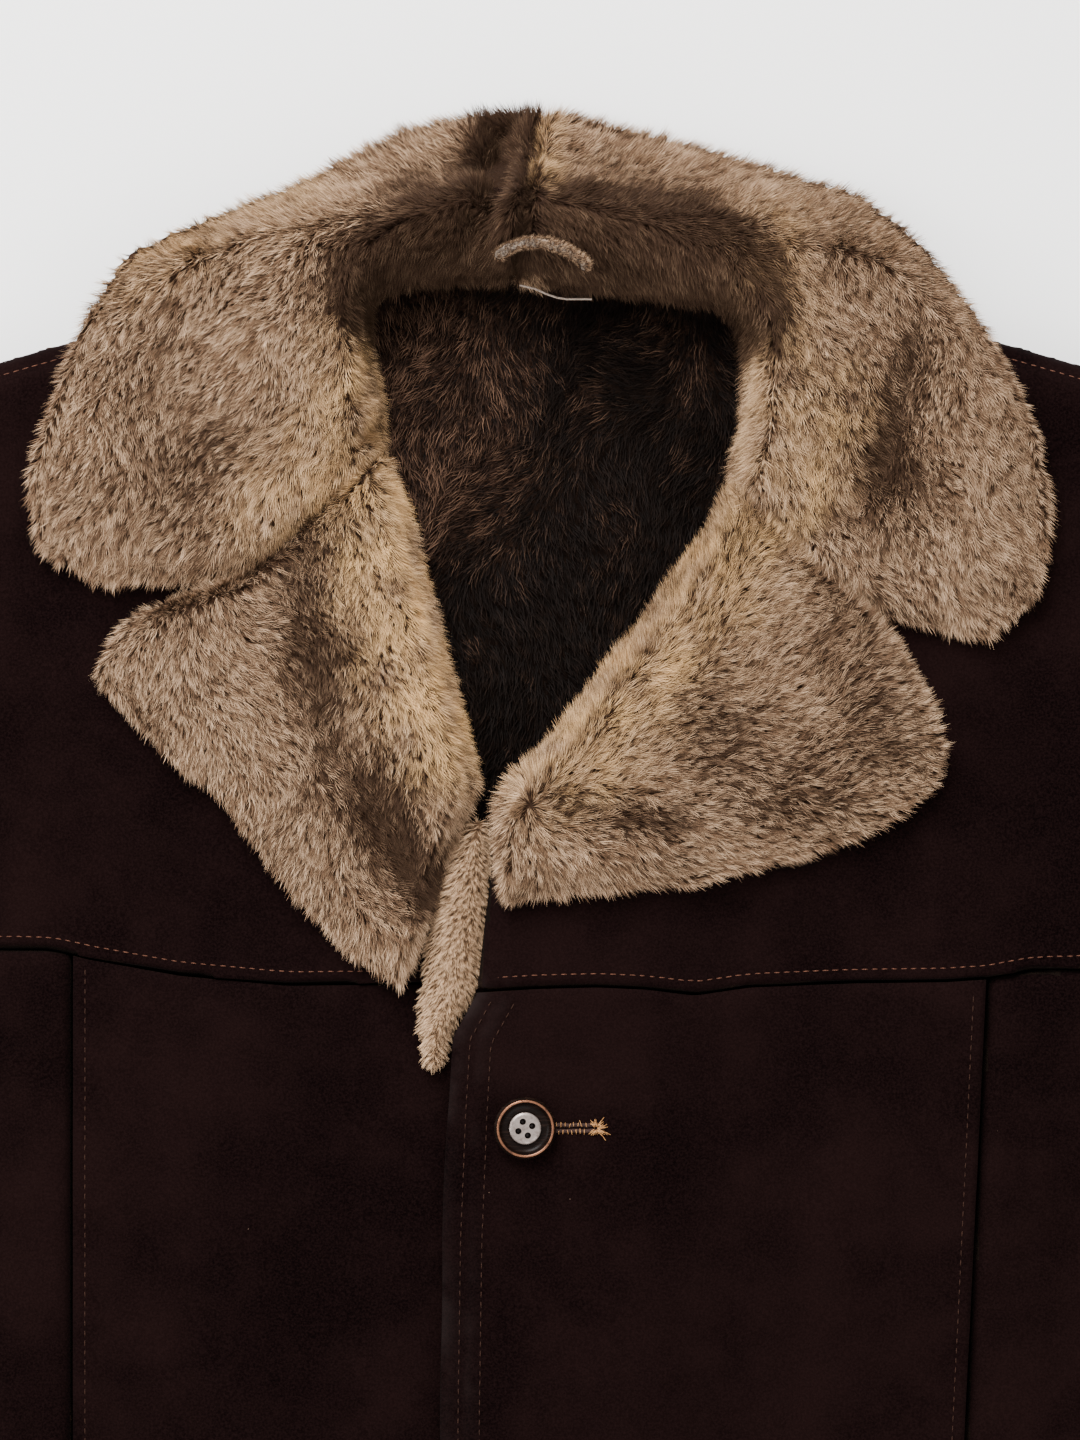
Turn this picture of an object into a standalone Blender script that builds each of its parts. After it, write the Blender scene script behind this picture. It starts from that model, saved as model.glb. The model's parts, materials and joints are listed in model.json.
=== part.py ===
"""Shearling coat lying on its back: suede-faced panels, fur collar and lapels, three buttons.

Garment coordinates are in millimetres: x towards the wearer's left, y from the back neck
seam towards the top of the collar, z up from the surface that the coat lies on.
"""

from math import asin, cos, hypot, pi, sin, sqrt

import bmesh
import bpy
from mathutils import Vector

MM = 0.001
GAP = 0.3  # between pieces at a seam
ARMHOLE_GAP = 1.0  # at the curved armhole seam

# Hide and lie of the coat
WALL = 8.0  # skin with its clipped pile
DEPTH = 32.0  # back to front of the body
SEAM_Z = DEPTH / 2  # height of the side, shoulder and sleeve seams
ROUND = 24.0  # reach of the rounding along those seams
LIFT = WALL + 2 * GAP  # of the left front where it laps over the right

# Cut of the body
COLLAR_TOP = 75.0
COAT_LENGTH = 820.0  # back neck seam to hem
NECK_POINT = (80.0, 12.0)
SHOULDER_POINT = (240.0, -34.0)
UNDERARM = (285.0, -290.0)
HEM_SIDE = (302.0, -COAT_LENGTH)
ARMHOLE_BOW = 12.0
LAP_EDGE = 26.0  # x of the right front's edge, under the left front
CENTRE_Y = (COLLAR_TOP - COAT_LENGTH) / 2

# Sleeve edges from the armhole to the cuff: outer x, outer y, inner x, inner y
SLEEVE = (
    (240, -34, 285, -290),
    (345, -84, 300, -320),
    (425, -188, 320, -365),
    (487, -340, 352, -450),
    (532, -465, 392, -545),
    (566, -560, 424, -620),
)

# Neck edge of each front yoke, hidden by collar and lapel: x, y from shoulder to yoke seam
YOKE_EDGE_R = (
    (-80, 12), (-80.5, 9), (-80, 0), (-79, -14), (-76, -52),
    (-67, -84), (-58, -122), (-48, -158), (-38, -196), (LAP_EDGE, -279),
)
YOKE_EDGE_L = (
    (80, 12), (84, 9), (92, 0), (98, -15), (97, -58),
    (84, -94), (58, -136), (26, -177), (-16, -222), (-23, -279),
)
PANEL_SEAM_R = ((-185, -267), (-185, -COAT_LENGTH))
PANEL_SEAM_L = ((181, -278), (155, -COAT_LENGTH))
FRONT_EDGE_R = ((LAP_EDGE, -279), (LAP_EDGE, -COAT_LENGTH))
FRONT_EDGE_L = (
    (-23, -279), (-33, -298), (-35, -330), (-37, -380), (-38, -450),
    (-38, -540), (-38, -630), (-38, -725), (-38, -COAT_LENGTH),
)

# Collar halves from the centre back to the gorge seam:
# neck x, neck y, outer x, outer y, crest distance from the neck edge, crest height
COLLAR_R = (
    (-8, 4, 4, 75, 35, 62),
    (-30, 5, -24, 73, 30, 62),
    (-51, 3, -54, 66, 24, 61),
    (-65, -3, -94, 46, 15, 60),
    (-67, -13, -134, 30, 10, 58),
    (-66, -22, -166, 16, 9, 57),
    (-65, -27, -179, -6, 9, 56),
    (-64, -32, -190, -32, 9, 56),
    (-63, -42, -204, -76, 9, 55),
    (-61, -51, -198, -106, 9, 55),
    (-61, -56, -174, -118, 9, 54),
    (-60, -60, -146, -117, 9, 53),
    (-60, -63, -116, -115, 9, 52),
)
COLLAR_L = (
    (-8, 4, 4, 75, 35, 62),
    (12, 2, 28, 69, 32, 62),
    (35, -1, 66, 60, 28, 62),
    (57, -3, 106, 48, 22, 61),
    (74, -6, 134, 40, 14, 60),
    (83, -14, 157, 20, 10, 58),
    (85, -26, 182, -16, 9, 57),
    (85, -38, 202, -56, 9, 56),
    (84, -50, 208, -92, 9, 55),
    (83, -60, 202, -124, 9, 55),
    (81, -67, 182, -140, 9, 54),
    (80, -72, 160, -134, 9, 53),
    (79, -76, 134, -129, 9, 52),
)
# Lapels from the gorge seam down: roll x, roll y, outer x, outer y, height of the roll's foot;
# the first section turns at the notch, where the gorge seam ends
NOTCH_R = (-116, -115)
NOTCH_L = (134, -129)
LAPEL_R = (
    (-60, -63, -163, -131, 22),
    (-55, -80, -177, -153, 22),
    (-51, -91, -172, -161, 22),
    (-47, -106, -166, -167, 22),
    (-41, -130, -150, -184, 22),
    (-34, -155, -126, -204, 22),
    (-27, -178, -112, -222, 24),
    (-23, -198, -98, -240, 33),
    (-34, -226, -74, -264, 33),
    (-41, -248, -54, -277, 33),
)
LAPEL_L = (
    (79, -76, 141, -138, 22),
    (74, -86, 149, -150, 22),
    (69, -96, 157, -164, 22),
    (63, -105, 164, -184, 22),
    (55, -116, 158, -202, 22),
    (46, -129, 138, -216, 22),
    (33, -146, 106, -228, 24),
    (19, -165, 66, -238, 27),
    (5, -182, 26, -240, 34),
    (-8, -196, 2, -242, 42),
    (-15, -206, -12, -245, 42),
)
STAND_FOOT = 12.0  # height of the collar's foot, just over the back
STAND = 8.0  # thickness of the collar's stand and of the turned roll
LEAF = 16.0  # skin and fur of a fall or lapel lying down
LEAF_EDGE = 9.0
LAPEL_CREST = 8.0  # distance of a lapel's crest from its roll edge
LAPEL_RISE = 19.0  # crest over the front that it lies on
LEAF_CLEAR = 2.0  # between a fall or lapel and what it lies on
DROP_START = 15.0  # past the shoulder line, where the collar starts to come down
DROP_END = 45.0  # and where it reaches the surface

# Fur at the front edge, between the lapels' ends: left x, right x, y
EDGE_STRIP = (
    (-27, -18.5, -213), (-34, -18, -228), (-40, -19.8, -246), (-43.5, -21.5, -262),
    (-45, -24.5, -281), (-45, -35, -298), (-44, -36.5, -312),
)
STRIP_HEIGHT = 9.0

# Fastening
BUTTON_X = -4.0
BUTTON_YS = (-335.0, -475.0, -615.0)
BUTTON_RADIUS = 12.5
CENTRE_RADIUS = 6.2
HOLE_RADIUS = 1.0
HOLE_CIRCLE = 2.6
HOLE_TURN = 0.35
BUTTON_LIFT = 1.0  # over the front's suede
SHANK_RADIUS = 1.4
SLOT_ENDS = (-7.0, 28.5)
SLOT_WIDTH = 3.8
# Button body from its axis outwards, then back under it: radius, height
BUTTON_PROFILE = (
    (0.0, 2.4), (CENTRE_RADIUS + GAP, 2.4), (CENTRE_RADIUS + GAP, 3.5), (8.6, 3.6),
    (10.6, 4.5), (11.7, 4.8), (12.4, 4.3), (BUTTON_RADIUS, 3.2), (11.6, 1.0), (9.0, 0.0), (0.0, 0.0),
)
CENTRE_HEIGHTS = (2.7, 4.1)

# Hanger loop on the collar's stand: x, y
LOOP = ((-15, 12.5), (-9, 16), (0, 17.5), (9, 16), (17, 12), (21, 8))
LOOP_RADIUS = 1.8
LOOP_LIFT = 6.5  # over the steep inner side of the stand

SUEDE = ((0.012, 0.006, 0.005), 0.85, 0.0)
FUR = ((0.28, 0.19, 0.13), 0.95, 0.0)
HORN = ((0.02, 0.011, 0.008), 0.3, 0.0)
SILVER = ((0.45, 0.42, 0.38), 0.35, 0.6)
THREAD = ((0.02, 0.013, 0.01), 0.8, 0.0)
LOOP_YARN = ((0.16, 0.13, 0.11), 0.9, 0.0)


def blend(a, b, t):
    return a + (b - a) * t


def ease(t):
    t = min(max(t, 0.0), 1.0)
    return t * t * (3 - 2 * t)


def between(a, b, t):
    return (blend(a[0], b[0], t), blend(a[1], b[1], t))


def place(x, y, z):
    """Garment millimetres to metres about the object's origin."""
    return Vector((x, y - CENTRE_Y, z)) * MM


def rounded_steps(width, cells, start=True, end=True):
    """Distances across a width, close together where the surface rounds to a seam."""
    near = (0.0, 0.134 * ROUND, 0.5 * ROUND)
    low = ROUND if start else 0.0
    high = width - ROUND if end else width
    steps = list(near) if start else []
    steps += [blend(low, high, i / cells) for i in range(cells + 1)]
    if end:
        steps += [width - d for d in reversed(near)]
    return steps


def catmull(points, steps):
    """A smooth curve through the points, with a number of steps between each two."""
    ends = [points[0]] + list(points) + [points[-1]]
    curve = []
    for a, b, c, d in zip(ends, ends[1:], ends[2:], ends[3:]):
        for i in range(steps):
            t = i / steps
            curve.append(tuple(
                0.5 * (2 * q + (r - p) * t + (2 * p - 5 * q + 4 * r - s) * t * t
                       + (3 * q - p - 3 * r + s) * t ** 3)
                for p, q, r, s in zip(a, b, c, d)
            ))
    return curve + [tuple(points[-1])]


SLEEVE_ROWS = catmull(SLEEVE, 2)
SLEEVE_OUTER = [(row[0], row[1]) for row in SLEEVE_ROWS]
SLEEVE_INNER = [(row[2], row[3]) for row in SLEEVE_ROWS]
SEAMS = [NECK_POINT] + SLEEVE_OUTER
SEAMS_UNDER = list(reversed(SLEEVE_INNER)) + [HEM_SIDE]


def seam_distance(x, y):
    """Distance in from the nearest side, shoulder or sleeve seam, and the way in from it."""
    side = -1.0 if x < 0 else 1.0
    point = Vector((abs(x), y))
    found = []
    for line in (SEAMS, SEAMS_UNDER):
        for a, b in zip(line, line[1:]):
            start = Vector(a)
            run = Vector(b) - start
            t = min(max((point - start).dot(run) / run.length_squared, 0.0), 1.0)
            off = point - start - run * t
            found.append((off.length, off, Vector((run.y, -run.x)).normalized()))
    nearest = min(item[0] for item in found)
    close = [item for item in found if item[0] < nearest + 1e-6]
    way = sum((item[1] if nearest > 1e-3 else item[2] for item in close), Vector((0.0, 0.0)))
    way.normalize()
    return nearest, side * way.x, way.y


def lift(x, y, side):
    """Rise of the left front over the right one's edge."""
    if side < 0:
        return 0.0
    return LIFT * ease((110 - x) / 66) * ease((-100 - y) / 110)


def front_top(x, y, side):
    distance, _, _ = seam_distance(x, y)
    turn = 1 - min(distance / ROUND, 1.0)
    return SEAM_Z + (DEPTH - SEAM_Z) * sqrt(1 - turn * turn) + lift(x, y, side)


def wall_points(x, y, front, side):
    """Outer and inner point of the hide over a place of the coat's outline."""
    distance, way_x, way_y = seam_distance(x, y)
    flat = 1 - min(distance / ROUND, 1.0)
    rise = sqrt(1 - flat * flat)
    height = SEAM_Z - GAP / 2
    normal = Vector((-way_x * flat / ROUND, -way_y * flat / ROUND, rise / height)).normalized()
    if front:
        outer = Vector((x, y, SEAM_Z + GAP / 2 + height * rise + lift(x, y, side)))
        return outer, outer - normal * WALL
    normal.z = -normal.z
    outer = Vector((x, y, height * (1 - rise)))
    return outer, outer - normal * WALL


def material(name, look):
    colour, roughness, metallic = look
    mat = bpy.data.materials.new(name)
    mat.use_nodes = True
    shader = mat.node_tree.nodes["Principled BSDF"]
    shader.inputs["Base Color"].default_value = (*colour, 1.0)
    shader.inputs["Roughness"].default_value = roughness
    shader.inputs["Metallic"].default_value = metallic
    return mat


def add_object(name, mesh, look, collection):
    mesh.materials.append(material(name, look))
    obj = bpy.data.objects.new(name, mesh)
    collection.objects.link(obj)
    return obj


def mesh_from(bm, name):
    bmesh.ops.recalc_face_normals(bm, faces=bm.faces)
    mesh = bpy.data.meshes.new(name)
    bm.to_mesh(mesh)
    bm.free()
    return mesh


def closed_shell(name, outer, inner, look, collection):
    """A wall between two grids of points with the same rows and columns."""
    bm = bmesh.new()
    layers = [[[bm.verts.new(place(*p)) for p in row] for row in grid] for grid in (outer, inner)]
    rows, columns = len(outer), len(outer[0])
    for layer in layers:
        for i in range(rows - 1):
            for j in range(columns - 1):
                bm.faces.new((layer[i][j], layer[i][j + 1], layer[i + 1][j + 1], layer[i + 1][j]))
    rim = [(0, j) for j in range(columns)] + [(i, columns - 1) for i in range(1, rows)]
    rim += [(rows - 1, j) for j in reversed(range(columns - 1))]
    rim += [(i, 0) for i in reversed(range(1, rows - 1))]
    for (a, b), (c, d) in zip(rim, rim[1:] + rim[:1]):
        bm.faces.new((layers[0][a][b], layers[0][c][d], layers[1][c][d], layers[1][a][b]))
    mesh = mesh_from(bm, name)
    mesh.shade_smooth()
    mesh.set_sharp_from_angle(angle=0.7)
    return add_object(name, mesh, look, collection)


def panel(name, grid, front, side, collection, seams, armhole):
    """A hide panel over a grid of places, held back half a gap at its sewn edges.

    The edges are t and b for the first and last row, i and o for the first and last column.
    """
    walls = [[wall_points(x, y, front, side) for x, y in row] for row in grid]
    last_row, last_column = len(grid) - 1, len(grid[0]) - 1
    for i, row in enumerate(grid):
        for j, (x, y) in enumerate(row):
            back = Vector((0.0, 0.0, 0.0))
            for mark, at_edge, near in (
                ("t", i == 0, (1, j)),
                ("b", i == last_row, (last_row - 1, j)),
                ("i", j == 0, (i, 1)),
                ("o", j == last_column, (i, last_column - 1)),
            ):
                if mark in seams and at_edge:
                    inward = Vector((*grid[near[0]][near[1]], 0.0)) - Vector((x, y, 0.0))
                    gap = ARMHOLE_GAP if mark in armhole else GAP
                    back += inward.normalized() * gap / 2
            walls[i][j] = (walls[i][j][0] + back, walls[i][j][1] + back)
    outer = [[wall[0] for wall in row] for row in walls]
    inner = [[wall[1] for wall in row] for row in walls]
    return closed_shell(name, outer, inner, SUEDE, collection)


def armhole_knots(side):
    """Places down the armhole seam, shared by the body and the sleeve."""
    length = hypot(UNDERARM[0] - SHOULDER_POINT[0], UNDERARM[1] - SHOULDER_POINT[1])
    knots = []
    for distance in rounded_steps(length, 6):
        x, y = between(SHOULDER_POINT, UNDERARM, distance / length)
        bow = ARMHOLE_BOW * sin(pi * distance / length) ** 2
        knots.append((side * (x - bow), y))
    return knots


def ruled(edges, cells):
    """Rows of places between edge lines; each span has its own cells, given as fractions."""
    grid = []
    for points in zip(*edges):
        row = [points[0]]
        for a, b, fractions in zip(points, points[1:], cells):
            row += [between(a, b, t) for t in fractions]
        grid.append(row)
    return grid


def even(count):
    return [(i + 1) / count for i in range(count)]


def side_cells(width, cells):
    """Fractions across a span that ends at a rounded side."""
    return [d / width for d in rounded_steps(width, cells, start=False)][1:]


def row_fractions(points):
    """How far down the coat each armhole place lies, as a share of the last one."""
    depths = [points[0][1] - y for _, y in points]
    return [d / depths[-1] for d in depths]


def yoke(name, edge, seam_top, side, collection):
    outer = armhole_knots(side)[: len(edge)]
    top = between((side * NECK_POINT[0], NECK_POINT[1]),
                  (side * SHOULDER_POINT[0], SHOULDER_POINT[1]), 0.55)
    middle = [between(top, seam_top, t) for t in row_fractions(outer)]
    return panel(name, ruled((edge, middle, outer), (even(6), even(4))), True, side, collection, "bo", "o")


def front(name, edge, seam, side, collection):
    rows = len(FRONT_EDGE_L) - 1
    if len(edge) == 2:
        edge = [between(edge[0], edge[1], i / rows) for i in range(rows + 1)]
    outer = [between(seam[0], seam[1], (edge[0][1] - y) / (edge[0][1] - edge[-1][1])) for _, y in edge]
    return panel(name, ruled((edge, outer), (even(9),)), True, side, collection, "to", "")


def side_line(side, rows):
    """Places down the side seam below the underarm."""
    return [
        (side * x, y) for x, y in (between(UNDERARM, HEM_SIDE, (i + 1) / rows) for i in range(rows))
    ]


def side_front(name, seam, side, collection):
    outer = armhole_knots(side)[len(YOKE_EDGE_R) - 1:] + side_line(side, 7)
    shares = row_fractions(outer)
    inner = [between(seam[0], seam[1], t) for t in shares]
    return panel(name, ruled((inner, outer), (side_cells(110, 2),)), True, side, collection, "tio", "o")


def back(collection):
    """The back, from shoulders and neck to the hem, with a line of places down its centre."""
    right = armhole_knots(-1) + side_line(-1, 7)
    left = armhole_knots(1) + side_line(1, 7)
    shares = row_fractions(left)
    neck_r = [between((-NECK_POINT[0], NECK_POINT[1]), (-NECK_POINT[0], -COAT_LENGTH), t) for t in shares]
    neck_l = [(-x, y) for x, y in neck_r]
    centre = [(0.0, y - 2 * (1 - t)) for (_, y), t in zip(neck_l, shares)]
    inward = side_cells(200, 3)
    outward = [0.0] + inward[:-1]
    mirrored = [1 - t for t in reversed(outward)]
    edges = (right, neck_r, centre, neck_l, left)
    return panel("back", ruled(edges, (mirrored, even(3), even(3), inward)), False, 1, collection, "io", "io")


def sleeve(name, front_half, side, collection):
    knots = armhole_knots(side)
    grid = []
    for i, (outer_x, outer_y, inner_x, inner_y) in enumerate(SLEEVE_ROWS):
        outer, inner = (side * outer_x, outer_y), (side * inner_x, inner_y)
        width = hypot(outer_x - inner_x, outer_y - inner_y)
        fading = (1 - i / (len(SLEEVE_ROWS) - 1)) ** 3
        row = []
        for distance, (knot_x, knot_y) in zip(rounded_steps(width, 6), knots):
            x, y = between(outer, inner, distance / width)
            if i == 0:
                x, y = knot_x, knot_y
            else:
                bow = ARMHOLE_BOW * sin(pi * distance / width) ** 2
                x -= side * bow * fading
            row.append((x, y))
        grid.append(row)
    return panel(name, grid, front_half, side, collection, "t", "t")


def resting_height(x, y, side):
    """What a turned-down leaf lies on: the front, then the surface past the shoulder line."""
    slope = (SHOULDER_POINT[1] - NECK_POINT[1]) / (SHOULDER_POINT[0] - NECK_POINT[0])
    shoulder_y = NECK_POINT[1] + slope * max(abs(x) - NECK_POINT[0], 0.0)
    past = y - shoulder_y
    return blend(1.0, DEPTH + lift(x, y, side) + LEAF_CLEAR, ease((DROP_END - past) / (DROP_END - DROP_START)))


def stand_line(crest_way, foot, crest):
    """The inner side of a stand, from its foot to its crest."""
    rise = crest - foot
    return [
        (0.0, foot),
        (0.12 * crest_way, foot + 0.45 * rise),
        (0.5 * crest_way, foot + 0.85 * rise),
        (crest_way, crest),
    ]


def turned_section(neck, outer, foot, crest_way, crest, side, corner=None):
    """Closed section of a leaf that rises from its foot, rolls over its crest and lies down.

    The leaf runs straight to its outer edge, or by way of a corner.
    """
    start = Vector(neck)
    end = Vector(outer)
    along = ((Vector(corner) if corner else end) - start).normalized()
    bend = max(crest_way, STAND + 2)
    turn = start + along * bend
    middle = Vector(corner) if corner else (turn + end) / 2
    under_crest = crest - LEAF - 2
    upper = [Vector((*(start + along * s), z)) for s, z in stand_line(crest_way, foot, crest)]
    lower = [
        Vector((*(start + along * STAND), foot)),
        Vector((*turn, under_crest)),
    ]
    for share, thickness in ((0.25, LEAF + 1), (0.5, LEAF), (0.75, LEAF - 1), (0.92, LEAF_EDGE)):
        if share <= 0.5:
            spot = turn.lerp(middle, share / 0.5)
        else:
            spot = middle.lerp(end, share / 0.5 - 1)
        rest = resting_height(*spot, side)
        under = max(blend(under_crest, rest, ease(share / 0.6)), rest)
        upper.append(Vector((*spot, under + thickness)))
        lower.append(Vector((*spot, under)))
    upper.append(Vector((*end, resting_height(*end, side) + LEAF_EDGE / 2)))
    return upper + lower[::-1]


# Faces that close the end of a leaf, by the places of its section's points
LEAF_CAP = (
    (0, 14, 13, 1), (1, 13, 2), (2, 13, 3), (3, 13, 12, 4),
    (4, 12, 11, 5), (5, 11, 10, 6), (6, 10, 9, 7), (7, 9, 8),
)


def lofted(name, sections, cap, look, collection):
    """A closed loft through sections with the same number of points."""
    bm = bmesh.new()
    rings = [[bm.verts.new(place(*p)) for p in section] for section in sections]
    count = len(rings[0])
    for a, b in zip(rings, rings[1:]):
        for j in range(count):
            k = (j + 1) % count
            bm.faces.new((a[j], a[k], b[k], b[j]))
    for ring in (rings[0], rings[-1]):
        for places in cap:
            bm.faces.new([ring[i] for i in places])
    mesh = mesh_from(bm, name)
    mesh.shade_smooth()
    mesh.set_sharp_from_angle(angle=0.9)
    return add_object(name, mesh, look, collection)


def held_back(sections):
    """Moves the first and last section half a gap into the piece, away from its seams."""
    for end, near in ((0, 1), (-1, -2)):
        first, crest = sections[end][0], sections[end][3]
        across = Vector((crest.y - first.y, first.x - crest.x, 0.0)).normalized()
        if across.dot(sections[near][0] - first) < 0:
            across.negate()
        sections[end] = [p + across * GAP / 2 for p in sections[end]]
    return sections


def collar(name, rows, side, collection):
    sections = [
        turned_section((nx, ny), (ox, oy), STAND_FOOT, way, crest, side)
        for nx, ny, ox, oy, way, crest in rows
    ]
    return lofted(name, held_back(sections), LEAF_CAP, FUR, collection)


def lapel(name, rows, notch, side, collection):
    sections = []
    for rx, ry, ox, oy, foot in rows:
        crest = DEPTH + lift(rx, ry, side) + LAPEL_RISE
        corner = None if sections else notch
        sections.append(turned_section((rx, ry), (ox, oy), foot, LAPEL_CREST, crest, side, corner))
    return lofted(name, held_back(sections), LEAF_CAP, FUR, collection)


def edge_strip(collection):
    """The facing's fur beside the front edge, a low loaf on the right front."""
    low = DEPTH + 2 * GAP
    sections = []
    for left, right, y in EDGE_STRIP:
        width = right - left
        sections.append([
            Vector((left + width * share, y, low + STRIP_HEIGHT * height))
            for share, height in ((0, 0.0), (0, 0.4), (0.2, 0.85), (0.5, 1.0), (0.8, 0.85), (1, 0.4), (1, 0.0))
        ])
    return lofted("edge_strip", sections, (range(7),), FUR, collection)


def stand_height(x, y):
    """Top of the collar's stand near the centre back, over a place behind the neck seam."""
    (start_x, neck_y, _, _, way, crest), (end_x, end_y, _, _, _, _) = COLLAR_L[0], COLLAR_L[2]
    s = y - blend(neck_y, end_y, max(x - start_x, 0.0) / (end_x - start_x))
    knees = stand_line(way, STAND_FOOT, crest)
    for (a, low), (b, high) in zip(knees, knees[1:]):
        if s <= b:
            return blend(low, high, (s - a) / (b - a))
    return crest


def hanger_loop(collection):
    points = catmull(LOOP, 3)
    curve = bpy.data.curves.new("hanger_loop", "CURVE")
    curve.dimensions = "3D"
    curve.bevel_depth = LOOP_RADIUS * MM
    curve.bevel_resolution = 2
    curve.use_fill_caps = True
    spline = curve.splines.new("POLY")
    spline.points.add(len(points) - 1)
    for point, (x, y) in zip(spline.points, points):
        point.co = (*place(x, y, stand_height(x, y) + LOOP_LIFT), 1.0)
    return add_object("hanger_loop", curve, LOOP_YARN, collection)


def button_floor(y):
    return DEPTH + lift(BUTTON_X, y, 1) + BUTTON_LIFT


def drilled(obj, y, cutters):
    """Cuts the four thread holes through a button's piece."""
    for i in range(4):
        angle = HOLE_TURN + i * pi / 2
        bpy.ops.mesh.primitive_cylinder_add(
            vertices=10,
            radius=HOLE_RADIUS * MM,
            depth=20 * MM,
            location=place(
                BUTTON_X + HOLE_CIRCLE * cos(angle), y + HOLE_CIRCLE * sin(angle), button_floor(y)
            ),
        )
        tool = bpy.context.object
        tool.name = f"{obj.name}_hole_{i + 1}"
        move_to(tool, cutters)
        cut(obj, tool)


def move_to(obj, collection):
    for old in list(obj.users_collection):
        old.objects.unlink(obj)
    collection.objects.link(obj)


def cut(obj, tool):
    tool.hide_render = True
    tool.display_type = "WIRE"
    modifier = obj.modifiers.new(tool.name, "BOOLEAN")
    modifier.operation = "DIFFERENCE"
    modifier.object = tool


def button_body(number, y, collection, cutters):
    name = f"button_{number}"
    mesh = bpy.data.meshes.new(name)
    points = [(radius * MM, 0.0, height * MM) for radius, height in BUTTON_PROFILE]
    mesh.from_pydata(points, [(i, i + 1) for i in range(len(points) - 1)], [])
    obj = add_object(name, mesh, HORN, collection)
    obj.location = place(BUTTON_X, y, button_floor(y))
    screw = obj.modifiers.new("turned", "SCREW")
    screw.steps = 28
    screw.render_steps = 28
    screw.use_merge_vertices = True
    screw.merge_threshold = 0.00001
    drilled(obj, y, cutters)
    return obj


def button_centre(number, y, collection, cutters):
    low, high = CENTRE_HEIGHTS
    bpy.ops.mesh.primitive_cylinder_add(
        vertices=24,
        radius=CENTRE_RADIUS * MM,
        depth=(high - low) * MM,
        location=place(BUTTON_X, y, button_floor(y) + (low + high) / 2),
    )
    obj = bpy.context.object
    obj.name = f"button_centre_{number}"
    obj.data.materials.append(material(obj.name, SILVER))
    move_to(obj, collection)
    drilled(obj, y, cutters)
    return obj


def button_shank(number, y, collection):
    """The wound thread that passes through the buttonhole to the right front."""
    low = DEPTH + 2 * GAP
    high = button_floor(y) - GAP
    bpy.ops.mesh.primitive_cylinder_add(
        vertices=12,
        radius=SHANK_RADIUS * MM,
        depth=(high - low) * MM,
        location=place(BUTTON_X, y, (low + high) / 2),
    )
    obj = bpy.context.object
    obj.name = f"button_shank_{number}"
    obj.data.materials.append(material(obj.name, THREAD))
    move_to(obj, collection)
    return obj


def buttonhole(obj, number, y, cutters):
    bpy.ops.mesh.primitive_cube_add(size=MM)
    tool = bpy.context.object
    tool.name = f"buttonhole_{number}"
    tool.scale = (SLOT_ENDS[1] - SLOT_ENDS[0], SLOT_WIDTH, 40)
    tool.location = place(sum(SLOT_ENDS) / 2, y, DEPTH + LIFT)
    move_to(tool, cutters)
    cut(obj, tool)


def build():
    for obj in list(bpy.data.objects):
        bpy.data.objects.remove(obj, do_unlink=True)
    coat = bpy.data.collections.new("shearling_coat")
    cutters = bpy.data.collections.new("cutters")
    bpy.context.scene.collection.children.link(coat)
    bpy.context.scene.collection.children.link(cutters)

    back(coat)
    yoke("yoke_r", YOKE_EDGE_R, PANEL_SEAM_R[0], -1, coat)
    yoke("yoke_l", YOKE_EDGE_L, PANEL_SEAM_L[0], 1, coat)
    front("front_r", FRONT_EDGE_R, PANEL_SEAM_R, -1, coat)
    front_l = front("front_l", FRONT_EDGE_L, PANEL_SEAM_L, 1, coat)
    side_front("side_front_r", PANEL_SEAM_R, -1, coat)
    side_front("side_front_l", PANEL_SEAM_L, 1, coat)
    for letter, side in (("r", -1), ("l", 1)):
        sleeve(f"sleeve_top_{letter}", True, side, coat)
        sleeve(f"sleeve_under_{letter}", False, side, coat)
    collar("collar_r", COLLAR_R, -1, coat)
    collar("collar_l", COLLAR_L, 1, coat)
    lapel("lapel_r", LAPEL_R, NOTCH_R, -1, coat)
    lapel("lapel_l", LAPEL_L, NOTCH_L, 1, coat)
    edge_strip(coat)
    hanger_loop(coat)
    for number, y in enumerate(BUTTON_YS, 1):
        buttonhole(front_l, number, y, cutters)
        button_body(number, y, coat, cutters)
        button_centre(number, y, coat, cutters)
        button_shank(number, y, coat)


build()
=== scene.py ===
"""Shearling coat: suede panels with pile inside, fur collar and lapels, seams, buttons and stage.

Run as a script. Garment coordinates are in millimetres: x towards the wearer's left, y from the
back neck seam towards the collar's top, z up. They become metres in the frame through spot().
"""

import json
from math import atan2, ceil, cos, pi, radians, sin, sqrt

import bmesh
import bpy
import numpy as np
from mathutils import Matrix, Vector
from mathutils.bvhtree import BVHTree

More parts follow.
